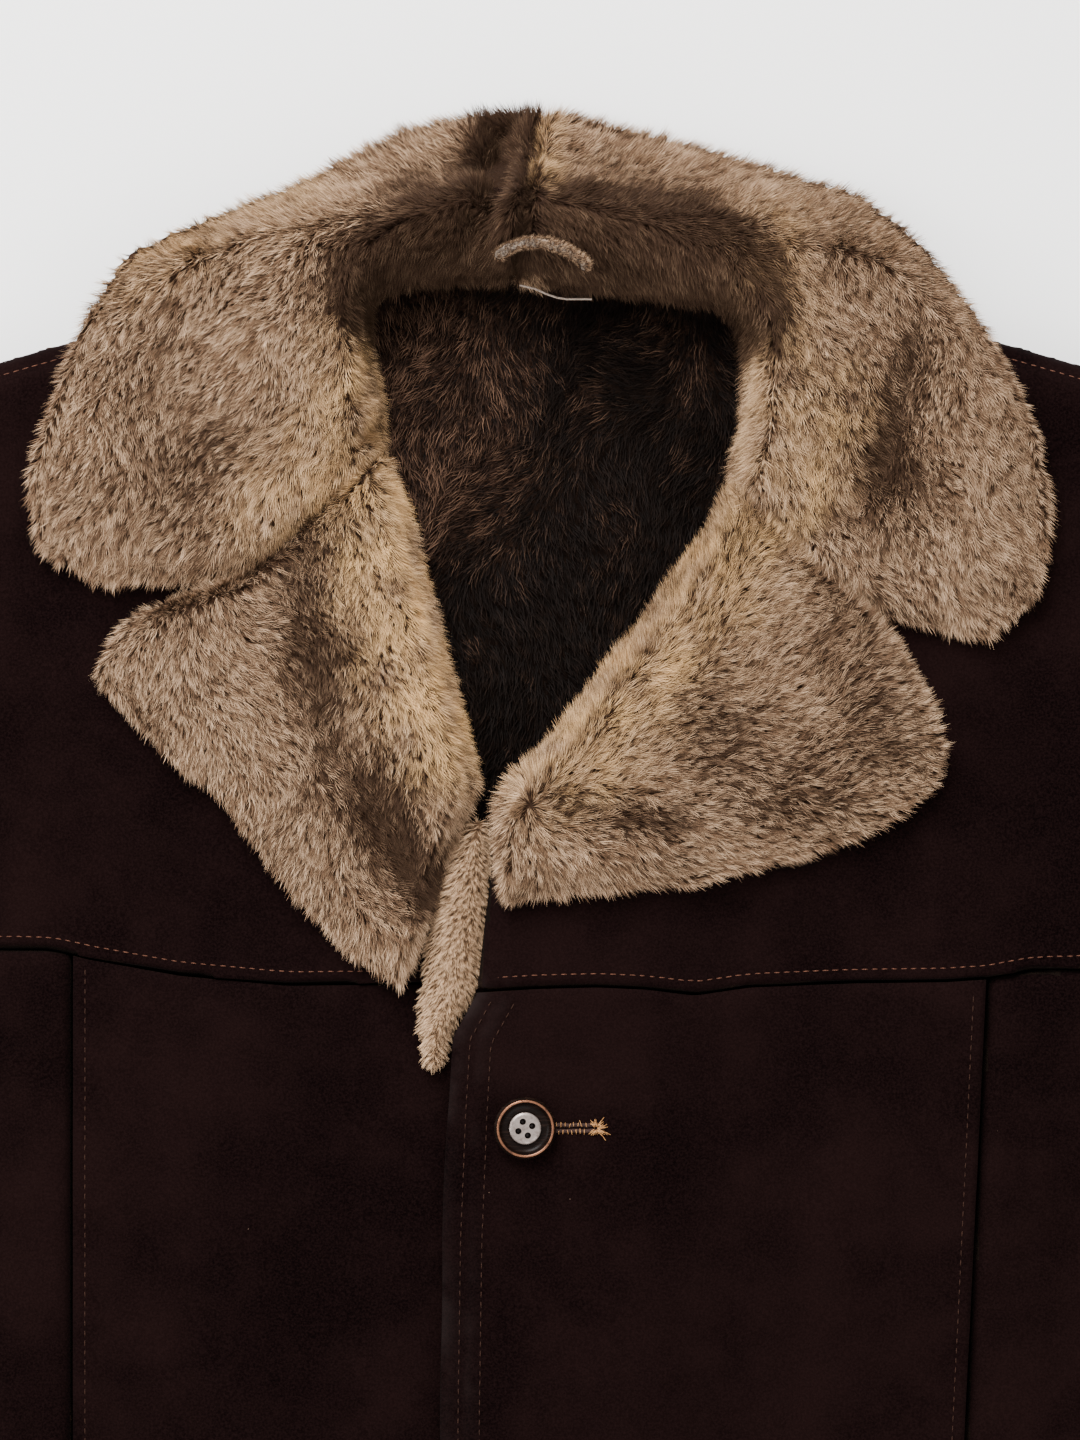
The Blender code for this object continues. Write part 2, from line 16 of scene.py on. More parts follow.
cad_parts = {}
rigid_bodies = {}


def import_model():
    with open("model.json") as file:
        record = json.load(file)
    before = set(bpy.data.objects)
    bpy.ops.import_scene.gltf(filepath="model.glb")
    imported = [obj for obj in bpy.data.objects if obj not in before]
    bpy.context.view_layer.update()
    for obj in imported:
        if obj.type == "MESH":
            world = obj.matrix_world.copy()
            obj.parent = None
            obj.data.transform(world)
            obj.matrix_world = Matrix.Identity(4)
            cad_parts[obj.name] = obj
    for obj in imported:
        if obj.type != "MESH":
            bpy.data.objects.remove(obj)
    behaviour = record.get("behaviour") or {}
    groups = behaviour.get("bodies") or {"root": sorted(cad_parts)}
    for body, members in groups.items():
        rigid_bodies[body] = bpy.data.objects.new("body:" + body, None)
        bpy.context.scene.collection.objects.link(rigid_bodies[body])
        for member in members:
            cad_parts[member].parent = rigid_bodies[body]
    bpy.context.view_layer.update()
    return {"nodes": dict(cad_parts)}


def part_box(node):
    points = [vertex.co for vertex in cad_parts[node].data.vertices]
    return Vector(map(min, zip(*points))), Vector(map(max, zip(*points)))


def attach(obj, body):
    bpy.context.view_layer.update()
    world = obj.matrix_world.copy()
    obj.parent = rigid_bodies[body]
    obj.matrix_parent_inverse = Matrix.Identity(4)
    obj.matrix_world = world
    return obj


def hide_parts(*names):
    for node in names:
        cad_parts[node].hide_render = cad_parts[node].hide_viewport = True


bl_info = {
    "name": "Shearling Coat",
    "version": (1, 0, 0),
    "blender": (4, 5, 0),
    "location": "View3D > Sidebar > Coat",
    "description": "Dresses a shearling coat's frame with suede, fur, seams and buttons",
    "category": "Object",
}

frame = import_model()

MM = 0.001
COAT_LENGTH = 820.0
CENTRE_Y = -COAT_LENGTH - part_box("back")[0].y / MM
BODY = "root"

# Lines of the cut, in garment millimetres
SHOULDER_R = ((-80, 12), (-240, -34))
SHOULDER_L = ((80, 12), (240, -34))
YOKE_SEAM_R = ((26, -279), (-185, -267), (-281, -266))
YOKE_SEAM_L = ((-23, -279), (181, -278), (281, -266))
PANEL_SEAM_R = ((-185, -267), (-185, -820))
PANEL_SEAM_L = ((181, -278), (155, -820))
FRONT_EDGE = ((-23, -279), (-33, -298), (-35, -330), (-37, -380), (-38, -450), (-38, -820))
LAP_EDGE = 26.0
NECK_SEAM = ((-66, -4), (-48, 4), (-8, 4), (12, 2), (35, -1), (57, -3), (78, -8))
HALF_GAP = 0.15  # of the gap between sewn hides
FRONT_TOP = 32.0  # height of the fronts' suede
HIDE_WALL = 8.0  # skin with its clipped pile
CENTRE_BACK = ((-2, 78), (-5, 40), (-6, 4))
GORGE_R = ((-60, -63), (-116, -115))
GORGE_L = ((79, -76), (134, -129))
BUTTON_YS = (-335.0, -475.0, -615.0)
SLOT_ENDS = (-7.0, 28.5)

PANELS = (
    "back", "yoke_r", "yoke_l", "front_r", "front_l", "side_front_r", "side_front_l",
    "sleeve_top_r", "sleeve_top_l", "sleeve_under_r", "sleeve_under_l",
)


# ---------------------------------------------------------------- small maths

def spot(x, y, z=0.0):
    """Garment millimetres to metres in the frame."""
    return Vector((x, y - CENTRE_Y, z)) * MM


def garment(points):
    """Frame metres to garment millimetres, for an array of points."""
    return points / MM + np.array((0.0, CENTRE_Y, 0.0))


def ease(t):
    t = np.clip(t, 0.0, 1.0)
    return t * t * (3 - 2 * t)


def bump(distance, width):
    """1 on a line, fading to 0 over about the width."""
    return np.exp(-((distance / width) ** 2))


def soft_noise(points, size, seed):
    """Smooth noise of about -1 to 1 whose lumps are about the size given."""
    rng = np.random.default_rng(seed)
    total = np.zeros(len(points))
    for _ in range(7):
        way = rng.normal(size=3)
        way *= rng.uniform(0.6, 1.5) / np.linalg.norm(way)
        total += np.sin(points @ way * (2 * pi / (2.2 * size)) + rng.uniform(0, 2 * pi))
    return total / 3.2


def line_distance(points, line):
    """Distance in plan from each point to a line, its signed side, and how far along it is."""
    best = np.full(len(points), 1e9)
    side = np.zeros(len(points))
    along = np.zeros(len(points))
    away = np.zeros((len(points), 2))
    run = 0.0
    for a, b in zip(line, line[1:]):
        a, b = np.array(a, float), np.array(b, float)
        step = b - a
        length = np.linalg.norm(step)
        t = np.clip(((points[:, :2] - a) @ step) / length**2, 0, 1)
        off = points[:, :2] - a - t[:, None] * step
        distance = np.linalg.norm(off, axis=1)
        near = distance < best
        best[near] = distance[near]
        away[near] = off[near]
        side[near] = np.sign(step[0] * off[near, 1] - step[1] * off[near, 0])
        along[near] = run + t[near] * length
        run += length
    return best, side, along, away


def moved_line(line, offset):
    """A line beside another, to its left for a positive offset."""
    moved = []
    for i, point in enumerate(line):
        before, after = line[max(i - 1, 0)], line[min(i + 1, len(line) - 1)]
        way = Vector((after[0] - before[0], after[1] - before[1])).normalized()
        moved.append((point[0] - way.y * offset, point[1] + way.x * offset))
    return moved


# ---------------------------------------------------------------- node graphs

class Socket:
    """A node's output, with the sums that a value can go into."""

    def __init__(self, graph, socket):
        self.graph = graph
        self.socket = socket

    def sum(self, operation, *values, clamp=False):
        settings = {"operation": operation, "use_clamp": clamp}
        return self.graph.add("ShaderNodeMath", settings, dict(enumerate(values)))

    def __add__(self, other):
        return self.sum("ADD", self, other)

    def __sub__(self, other):
        return self.sum("SUBTRACT", self, other)

    def __mul__(self, other):
        return self.sum("MULTIPLY", self, other)

    def __truediv__(self, other):
        return self.sum("DIVIDE", self, other)

    def __rsub__(self, other):
        return self.sum("SUBTRACT", other, self)

    def __gt__(self, other):
        return self.sum("GREATER_THAN", self, other)

    def __lt__(self, other):
        return self.sum("LESS_THAN", self, other)

    __radd__ = __add__
    __rmul__ = __mul__


class Graph:
    """Adds nodes to a tree: type, settings first, then the values or links of its sockets."""

    def __init__(self, tree):
        self.tree = tree

    def pick(self, sockets, key):
        if isinstance(key, int):
            return sockets[key]
        return next(s for s in sockets if s.name == key and s.enabled)

    def add(self, kind, settings=None, feeds=None, out=0):
        node = self.tree.nodes.new(kind)
        for name, value in (settings or {}).items():
            setattr(node, name, value)
        for key, value in (feeds or {}).items():
            target = self.pick(node.inputs, key)
            if isinstance(value, Socket):
                self.tree.links.new(value.socket, target)
            else:
                target.default_value = value
        if not node.outputs:
            return node
        return Socket(self, self.pick(node.outputs, out))

    def more(self, socket, out):
        """Another output of the node that a socket belongs to."""
        return Socket(self, self.pick(socket.socket.node.outputs, out))

    def attribute(self, name, out="Fac"):
        return self.add("ShaderNodeAttribute", {"attribute_name": name}, {}, out)

    def noise(self, place, scale, detail=2.0, roughness=0.5):
        feeds = {"Vector": place, "Scale": scale, "Detail": detail, "Roughness": roughness}
        return self.add("ShaderNodeTexNoise", {}, feeds)

    def ramp(self, value, low, high):
        """0 below low and 1 above high, eased between."""
        settings = {"interpolation_type": "SMOOTHSTEP"}
        return self.add("ShaderNodeMapRange", settings, {"Value": value, "From Min": low, "From Max": high})

    def mix(self, share, a, b, how="MIX"):
        return self.add("ShaderNodeMix", {"data_type": "RGBA", "blend_type": how}, {0: share, 6: a, 7: b}, 2)


def new_material(name, roughness=0.8, metallic=0.0, **constants):
    """A Principled material; returns it with its graph and shader."""
    mat = bpy.data.materials.new(name)
    mat.use_nodes = True
    graph = Graph(mat.node_tree)
    shader = mat.node_tree.nodes["Principled BSDF"]
    shader.inputs["Roughness"].default_value = roughness
    shader.inputs["Metallic"].default_value = metallic
    for key, value in constants.items():
        shader.inputs[key.replace("_", " ")].default_value = value
    return mat, graph, shader


def feed(graph, shader, **links):
    for key, value in links.items():
        target = shader.inputs[key.replace("_", " ")]
        if isinstance(value, Socket):
            graph.tree.links.new(value.socket, target)
        else:
            target.default_value = value


def rgba(colour, k=1.0):
    return (colour[0] * k, colour[1] * k, colour[2] * k, 1.0)


# ---------------------------------------------------------------- materials

def suede_material(look):
    """Napped dark suede: cloudy blotches, fine nap, rubbed edges painted greyish for their wear and their sheen, and a
    few pale specks of dust.
    """
    mat, g, shader = new_material("worn_suede", Specular_IOR_Level=0.0, Sheen_Weight=0.02, Sheen_Roughness=0.4)
    place = g.add("ShaderNodeTexCoord", {}, {}, "Object")
    clouds = g.noise(place, 13.0, 3.0, 0.6)
    patches = g.noise(place, 42.0, 3.0, 0.6)
    nap = g.noise(place, 1100.0, 3.0, 0.7)
    rub = g.attribute("rub")
    warm = g.ramp(clouds * 0.7 + patches * 0.3, 0.36, 0.68)
    colour = g.mix(warm, rgba(look.suede_dark), rgba(look.suede_warm))
    grain = g.ramp(nap, 0.3, 0.75)
    colour = g.mix(grain * 0.45, colour, rgba(look.suede_warm, 2.2))
    # rubbed front edge: real wear, with its sheen painted in as a paler greyish colour
    colour = g.mix(rub * g.ramp(patches, 0.35, 0.7) * 0.6, colour, rgba(look.suede_rubbed_sheen))
    cells = g.add("ShaderNodeTexVoronoi", {}, {"Vector": place, "Scale": 70.0}, "Distance")
    drawn = g.add("ShaderNodeSeparateColor", {}, {"Color": g.more(cells, "Color")})
    speck = (cells < 0.013) * (drawn > 0.72)
    colour = g.mix(speck * 0.5, colour, (0.16, 0.1, 0.07, 1))
    height = nap * 0.35 + patches * 0.5 + g.noise(place, 240.0, 2.0) * 0.4
    normal = g.add("ShaderNodeBump", {}, {"Strength": 0.45, "Distance": 0.0006, "Height": height})
    feed(g, shader, Base_Color=colour, Roughness=0.92 - rub * 0.4 - warm * 0.04, Normal=normal)
    return mat


def pile_material(name, root, body, tip):
    """Short clipped pile inside the coat, and what shows between tufts."""
    mat, g, shader = new_material(name, 0.95, Specular_IOR_Level=0.05)
    place = g.add("ShaderNodeTexCoord", {}, {}, "Object")
    curls = g.noise(place, 420.0, 4.0, 0.65)
    clouds = g.noise(place, 30.0, 2.0)
    colour = g.mix(g.ramp(curls, 0.35, 0.62), rgba(root), rgba(body))
    colour = g.mix(g.ramp(curls * 0.7 + clouds * 0.3, 0.55, 0.75), colour, rgba(tip))
    colour = g.mix(g.attribute("rim") * 0.7, colour, rgba(tip, 0.8))
    # painted shade: where 'dark' is high the base turns towards a darker root colour
    colour = g.mix(g.ramp(g.attribute("dark"), 0.35, 0.9) * 0.9, colour, rgba(root, 0.5))
    normal = g.add("ShaderNodeBump", {}, {"Strength": 0.9, "Distance": 0.002, "Height": curls})
    feed(g, shader, Base_Color=colour, Normal=normal)
    return mat


def tuft_material(name, root, body, tip, gold, shade):
    """Fur: dark at the root, pale at the tip, with golden and shaded areas from the skin."""
    mat, g, shader = new_material(name, 0.8, Specular_IOR_Level=0.1)
    along, tone, rim = g.attribute("along"), g.attribute("tone"), g.attribute("rim")
    dark = g.attribute("dark")
    place = g.add("ShaderNodeTexCoord", {}, {}, "Object")
    clouds = g.noise(place, 60.0, 3.0, 0.6)
    height = along + rim * 0.35
    colour = g.mix(g.ramp(height, 0.05, 0.6), rgba(root), rgba(body))
    # painted shade also holds back the pale tips
    paler = g.ramp(height * 0.8 + (tone - 0.5) * (1.0 - rim * 0.5) + rim * 0.12 - dark * 0.4, 0.38, 0.92)
    colour = g.mix(paler, colour, rgba(tip))
    golden = g.attribute("gold") * g.ramp(height, 0.15, 0.7) * g.ramp(tone, -0.3, 0.7)
    colour = g.mix(golden, colour, rgba(gold))
    # painted shade: the skin's 'dark' value, mixed with random clouds and tufts, pulls the hair towards the shade
    # colour
    shaded = g.ramp(dark * 1.2 + (clouds - 0.5) * 0.7 + (0.5 - tone) * 0.9 - rim * 0.2, 0.15, 0.95)
    deep = g.mix(g.ramp(height * 0.6 + tone * 0.6 - dark * 0.4, 0.25, 1.0), rgba(shade), rgba(body, 0.7))
    colour = g.mix(shaded * 0.9, colour, deep)
    feed(g, shader, Base_Color=colour)
    return mat


def thread_material(name, colour, pale):
    mat, g, shader = new_material(name, 0.7, Specular_IOR_Level=0.1)
    place = g.add("ShaderNodeTexCoord", {}, {}, "Object")
    twist = g.noise(place, 2500.0, 2.0)
    feed(
        g, shader,
        Base_Color=g.mix(g.ramp(twist, 0.35, 0.7), rgba(colour), rgba(pale)),
        Normal=g.add("ShaderNodeBump", {}, {"Strength": 0.6, "Distance": 0.0002, "Height": twist}),
    )
    return mat


def horn_material(look):
    """Dark horn with a faint brown streak, polished, with fine scratches in its roughness."""
    mat, g, shader = new_material("dark_horn", 0.28, Specular_IOR_Level=0.05)
    place = g.add("ShaderNodeTexCoord", {}, {}, "Object")
    streaks = g.add("ShaderNodeMapping", {}, {"Vector": place, "Rotation": (0, 0, 0.5), "Scale": (1, 6, 1)})
    streak = g.noise(streaks, 160.0, 3.0, 0.6)
    scratch = g.noise(place, 1500.0, 2.0)
    colour = g.mix(g.ramp(streak, 0.45, 0.75), rgba(look.horn), rgba(look.horn, 3.2))
    feed(g, shader, Base_Color=colour, Roughness=0.22 + scratch * 0.2)
    return mat


def metal_material(name, colour, worn, roughness):
    mat, g, shader = new_material(name, roughness, 0.9)
    place = g.add("ShaderNodeTexCoord", {}, {}, "Object")
    patina = g.noise(place, 500.0, 4.0, 0.6)
    feed(
        g, shader,
        Base_Color=g.mix(g.ramp(patina, 0.4, 0.7), rgba(colour), rgba(worn)),
        Roughness=roughness + g.ramp(patina, 0.3, 0.8) * 0.2,
    )
    return mat


def floor_material(look):
    mat, g, shader = new_material("studio_floor", 0.9)
    place = g.add("ShaderNodeTexCoord", {}, {}, "Object")
    grain = g.noise(place, 160.0, 4.0)
    feed(g, shader, Base_Color=g.mix(grain * 0.1, rgba(look.floor), rgba(look.floor, 0.95)))
    return mat


# ---------------------------------------------------------------- meshes

def plain_mesh(obj, name):
    """The evaluated object as a mesh of its own."""
    graph = bpy.context.evaluated_depsgraph_get()
    mesh = bpy.data.meshes.new_from_object(obj.evaluated_get(graph), depsgraph=graph)
    mesh.name = name
    return mesh


def show(name, mesh, materials=()):
    obj = bpy.data.objects.new(name, mesh)
    bpy.context.scene.collection.objects.link(obj)
    if materials:
        mesh.materials.clear()
        for mat in materials:
            mesh.materials.append(mat)
    return obj


def drop(obj):
    bpy.data.objects.remove(obj, do_unlink=True)


def cad_copy(node):
    """A welded copy of a CAD node's mesh, as quads where it was made of them."""
    source = frame["nodes"][node]
    bm = bmesh.new()
    bm.from_mesh(source.data)
    bmesh.ops.transform(bm, matrix=source.matrix_world, verts=bm.verts)
    bmesh.ops.remove_doubles(bm, verts=bm.verts, dist=0.00001)
    bmesh.ops.join_triangles(
        bm, faces=bm.faces, angle_face_threshold=radians(25), angle_shape_threshold=radians(70)
    )
    mesh = bpy.data.meshes.new(node + "_copy")
    bm.to_mesh(mesh)
    bm.free()
    return mesh


def points_of(mesh):
    points = np.empty(len(mesh.vertices) * 3, np.float32)
    mesh.vertices.foreach_get("co", points)
    return points.reshape(-1, 3).astype(float)


def normals_of(mesh):
    normals = np.empty(len(mesh.vertices) * 3, np.float32)
    mesh.vertex_normals.foreach_get("vector", normals)
    return normals.reshape(-1, 3).astype(float)


def place_points(mesh, points):
    mesh.vertices.foreach_set("co", points.astype(np.float32).ravel())
    mesh.update()


def set_values(mesh, name, values):
    """A value, or a vector, for each vertex."""
    kind, key = ("FLOAT", "value") if values.ndim == 1 else ("FLOAT_VECTOR", "vector")
    attribute = mesh.attributes.get(name) or mesh.attributes.new(name, kind, "POINT")
    attribute.data.foreach_set(key, values.astype(np.float32).ravel())


def skin_faces(mesh, outward_z):
    """Marks the outer skin: faces reached from the flat outside without crossing a sharp edge."""
    bm = bmesh.new()
    bm.from_mesh(mesh)
    bm.faces.ensure_lookup_table()
    start = max(bm.faces, key=lambda f: (round(f.normal.z * outward_z, 3), f.calc_center_median().z * outward_z))
    seen, queue = {start}, [start]
    while queue:
        face = queue.pop()
        for edge in face.edges:
            if edge.calc_face_angle(pi) < radians(50):
                for other in edge.link_faces:
                    if other not in seen:
                        seen.add(other)
                        queue.append(other)
    for face in bm.faces:
        face.material_index = 0 if face in seen else 1
        face.smooth = True
    bm.to_mesh(mesh)
    bm.free()


def piece_name(node):
    """Name of the finished piece that stands in for a CAD node."""
    return "back-panel" if node == "back" else node.replace("_", "-")


def finish_piece(obj, nodes):
    """Ties a finished piece to the frame."""
    obj.data.shade_smooth()
    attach(obj, BODY)
    if nodes:
        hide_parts(*nodes)


def height_map(objects):
    """A function that gives the top surface of some pieces over a place."""
    trees = []
    for obj in objects:
        mesh = obj.data
        trees.append(BVHTree.FromPolygons([v.co for v in mesh.vertices], [p.vertices for p in mesh.polygons]))

    def height(x, y, up=True):
        start = spot(x, y, 200.0 if up else -100.0)
        way = Vector((0, 0, -1 if up else 1))
        hits = [tree.ray_cast(start, way)[0] for tree in trees]
        found = [hit.z / MM for hit in hits if hit]
        if not found:
            return None
        return max(found) if up else min(found)

    return height


# ---------------------------------------------------------------- panels

def lap_lift(points):
    """Rise of the left front over the right one's edge, as the frame has it."""
    return 8.6 * ease((110 - points[:, 0]) / 66) * ease((-100 - points[:, 1]) / 110)


def flat_front(node, left, right, rise, cells):
    """A front panel as a wall between two edge lines, with soft rims."""
    columns, rows = cells
    top, bottom = left[0][1], left[-1][1]
    grid = []
    for i in range(rows + 1):
        share = i / rows
        y_in = top + (bottom - top) * share
        x_in = np.interp(-y_in, [-p[1] for p in left], [p[0] for p in left])
        x_out = right[0][0] + (right[1][0] - right[0][0]) * share
        y_out = right[0][1] + (right[1][1] - right[0][1]) * share
        for j in range(columns + 1):
            t = j / columns
            grid.append((x_in + (x_out - x_in) * t, y_in + (y_out - y_in) * t, FRONT_TOP))
    points = np.array(grid)
    across = 1 if right[0][0] > left[0][0] else -1
    points[:, 0] += across * HALF_GAP * (np.tile(np.arange(columns + 1), rows + 1) == 0)
    points[:, 0] -= across * HALF_GAP * (np.tile(np.arange(columns + 1), rows + 1) == columns)
    points[: columns + 1, 1] -= HALF_GAP
    if rise:
        points[:, 2] += lap_lift(points)
    lower = points.copy()
    lower[:, 2] -= HIDE_WALL
    both = [spot(*p) for p in np.vstack((points, lower))]
    count, width = len(points), columns + 1
    faces = []
    for i in range(rows):
        for j in range(columns):
            a = i * width + j
            quad = (a, a + 1, a + width + 1, a + width)
            faces.append(quad[::-1] if across > 0 else quad)
            under = tuple(v + count for v in quad)
            faces.append(under if across > 0 else under[::-1])
    rim = [j for j in range(width)] + [i * width + columns for i in range(1, rows + 1)]
    rim += [rows * width + j for j in reversed(range(columns))] + [i * width for i in reversed(range(1, rows))]
    for a, b in zip(rim, rim[1:] + rim[:1]):
        quad = (a, b, b + count, a + count)
        faces.append(quad if across > 0 else quad[::-1])
    mesh = bpy.data.meshes.new(node + "_cloth")
    mesh.from_pydata(both, [], faces)
    mesh.update()
    return mesh


SLEEVE_SEAM = 16.0  # height of the seams between the sleeve halves
LIP_FALL, LIP_RISE = 2.9, 1.4  # what evening the mesh takes off their lips


def soft_panel(node, mesh, voxel):
    """An even, round-rimmed mesh of a panel, with its skin and inside still marked."""
    marked = BVHTree.FromPolygons([v.co for v in mesh.vertices], [p.vertices for p in mesh.polygons])
    marks = [p.material_index for p in mesh.polygons]
    obj = show(node + "_work", mesh)
    even = obj.modifiers.new("even", "REMESH")
    even.mode = "VOXEL"
    even.voxel_size = voxel * MM
    result = plain_mesh(obj, node + "_cloth")
    drop(obj)
    index = [marks[marked.find_nearest(p.center)[2]] for p in result.polygons]
    result.polygons.foreach_set("material_index", index)
    if node.startswith("sleeve"):
        close_lips(result, node.startswith("sleeve_top"))
    return result


def close_lips(mesh, upper):
    """Brings a sleeve half's rounded lips back to the seam where the halves meet."""
    points = garment(points_of(mesh))
    height = points[:, 2]
    if upper:
        moved = np.maximum(height - LIP_FALL * ease((26 - height) / 8), SLEEVE_SEAM + HALF_GAP)
    else:
        moved = np.minimum(height + LIP_RISE * ease((height - 8) / 6), SLEEVE_SEAM - HALF_GAP)
    points[:, 2] = moved
    place_points(mesh, np.array([spot(*p) for p in points]))


# How far the yoke seams sag or rise, in millimetres, by their place across
SEAM_SAG = (
    (-281, 1), (-214, 2.5), (-195, 2.5), (-178, -0.6), (-142, -5), (-99, -6.5), (-52, -3.4), (0, -0.5),
    (25, 0), (45, -1), (64, -3.6), (86, -0.6), (128, 0.8), (165, 1.2), (200, 3.4), (218, 1.5), (281, 0),
)


def sagging(line):
    """A line as it runs once the yoke seams' sag is in it."""
    return [(x, y + np.interp(x, *zip(*SEAM_SAG))) for x, y in split_line(line, 8.0)]


def split_line(line, spacing):
    """The same line with points no further apart than the spacing."""
    points = []
    for a, b in zip(line, line[1:]):
        steps = max(int(((b[0] - a[0]) ** 2 + (b[1] - a[1]) ** 2) ** 0.5 / spacing), 1)
        points += [(a[0] + (b[0] - a[0]) * i / steps, a[1] + (b[1] - a[1]) * i / steps) for i in range(steps)]
    return points + [tuple(line[-1])]


# Folds and dents: node, line, depth (down for a negative one) and width, in millimetres
FOLDS = (
    ("yoke_r", ((-120, -225), (-150, -160), (-172, -100)), -1.6, 16),
    ("yoke_r", ((-205, -60), (-196, -130), (-206, -215)), -1.8, 18),
    ("yoke_r", ((-228, -90), (-215, -170), (-226, -240)), 1.4, 14),
    ("yoke_l", ((120, -262), (165, -215), (190, -150)), -1.6, 18),
    ("yoke_l", ((196, -70), (205, -140), (200, -220)), -1.8, 17),
    ("yoke_l", ((225, -100), (232, -170), (228, -235)), 1.4, 15),
    ("front_r", ((-60, -300), (-84, -420), (-72, -560), (-90, -760)), -1.8, 22),
    ("front_r", ((-130, -330), (-118, -470), (-136, -640)), 1.5, 20),
    ("front_r", ((-30, -350), (-42, -520), (-34, -700)), 1.1, 15),
    ("front_l", ((60, -300), (74, -430), (66, -600), (80, -780)), -1.8, 22),
    ("front_l", ((125, -320), (112, -480), (124, -660)), 1.5, 20),
    ("front_l", ((20, -640), (48, -700), (40, -800)), -1.4, 16),
    ("side_front_r", ((-215, -330), (-232, -460), (-222, -640), (-240, -800)), -2.2, 18),
    ("side_front_r", ((-262, -310), (-240, -360), (-214, -400)), -1.8, 12),
    ("side_front_l", ((215, -320), (226, -470), (212, -650), (228, -800)), -2.2, 18),
    ("side_front_l", ((264, -312), (238, -352), (208, -388)), -1.8, 12),
    ("sleeve_top_r", ((-262, -250), (-300, -215), (-360, -190)), -3.2, 12),
    ("sleeve_top_r", ((-300, -300), (-345, -280), (-400, -275)), -3.4, 11),
    ("sleeve_top_r", ((-330, -345), (-385, -350), (-450, -330)), -3.6, 11),
    ("sleeve_top_r", ((-345, -400), (-400, -392), (-468, -402)), -2.8, 10),
    ("sleeve_top_r", ((-250, -80), (-300, -120), (-330, -190)), -2.4, 15),
    ("sleeve_top_r", ((-470, -450), (-440, -520), (-470, -580)), -2.2, 14),
    ("sleeve_top_l", ((260, -240), (305, -220), (365, -200)), -3.2, 12),
    ("sleeve_top_l", ((302, -306), (350, -292), (410, -280)), -3.4, 11),
    ("sleeve_top_l", ((328, -360), (380, -345), (446, -346)), -3.6, 11),
    ("sleeve_top_l", ((350, -412), (410, -410), (474, -392)), -2.8, 10),
    ("sleeve_top_l", ((252, -90), (296, -130), (322, -200)), -2.4, 15),
    ("sleeve_top_l", ((462, -440), (448, -510), (480, -570)), -2.2, 14),
)

def below(line, y):
    """The part of a downward line that lies below a height."""
    return [point for point in split_line(line, 3.0) if point[1] < y]


# Rows of stitches; the first four are in the brighter thread
STITCH_LINES = (
    [point for point in sagging(moved_line(YOKE_SEAM_R, -5.5)) if point[0] < -30],
    sagging(moved_line(YOKE_SEAM_L, 5.5)),
    moved_line(SHOULDER_R, 7.0),
    moved_line(SHOULDER_L, -7.0),
    below(moved_line(PANEL_SEAM_R, 5.0), -272),
    below(moved_line(PANEL_SEAM_L, -5.0), -282),
    below(moved_line(FRONT_EDGE, 7.5), -284),
    below(moved_line(FRONT_EDGE, 16.0), -283),
)
BRIGHT_LINES = 4


def lap_edges(node, points, up):
    """How a panel's edge lies at its seams: lapped pieces stand a little over the next one."""
    rise = np.zeros(len(points))
    groove = np.zeros(len(points))
    wave = soft_noise(points, 11.0, 5)
    if node.startswith("yoke"):
        seam = sagging(YOKE_SEAM_R if node == "yoke_r" else YOKE_SEAM_L)
        distance = line_distance(points, seam)[0]
        rise += 0.5 * ease((14 - distance) / 12) + 0.35 * wave * ease((12 - distance) / 10)
    elif not node.startswith("sleeve") and node != "back":
        seam = sagging(YOKE_SEAM_R if node.endswith("_r") else YOKE_SEAM_L)
        distance = line_distance(points, seam)[0]
        rise -= 0.4 * ease((9 - distance) / 8)
        rise += 0.4 * wave * ease((22 - distance) / 18)
        panel_seam = PANEL_SEAM_R if node.endswith("_r") else PANEL_SEAM_L
        distance = line_distance(points, panel_seam)[0]
        if node.startswith("side"):
            rise -= 1.0 * ease((9 - distance) / 8)
        else:
            rise += 0.9 * ease((14 - distance) / 12)
        rise += 0.35 * wave * ease((18 - distance) / 14)
    for line in STITCH_LINES:
        distance = line_distance(points, line)[0]
        groove += bump(distance, 2.2) * (0.9 + 0.35 * wave)
    return (rise - 0.8 * np.minimum(groove, 1.3)) * up


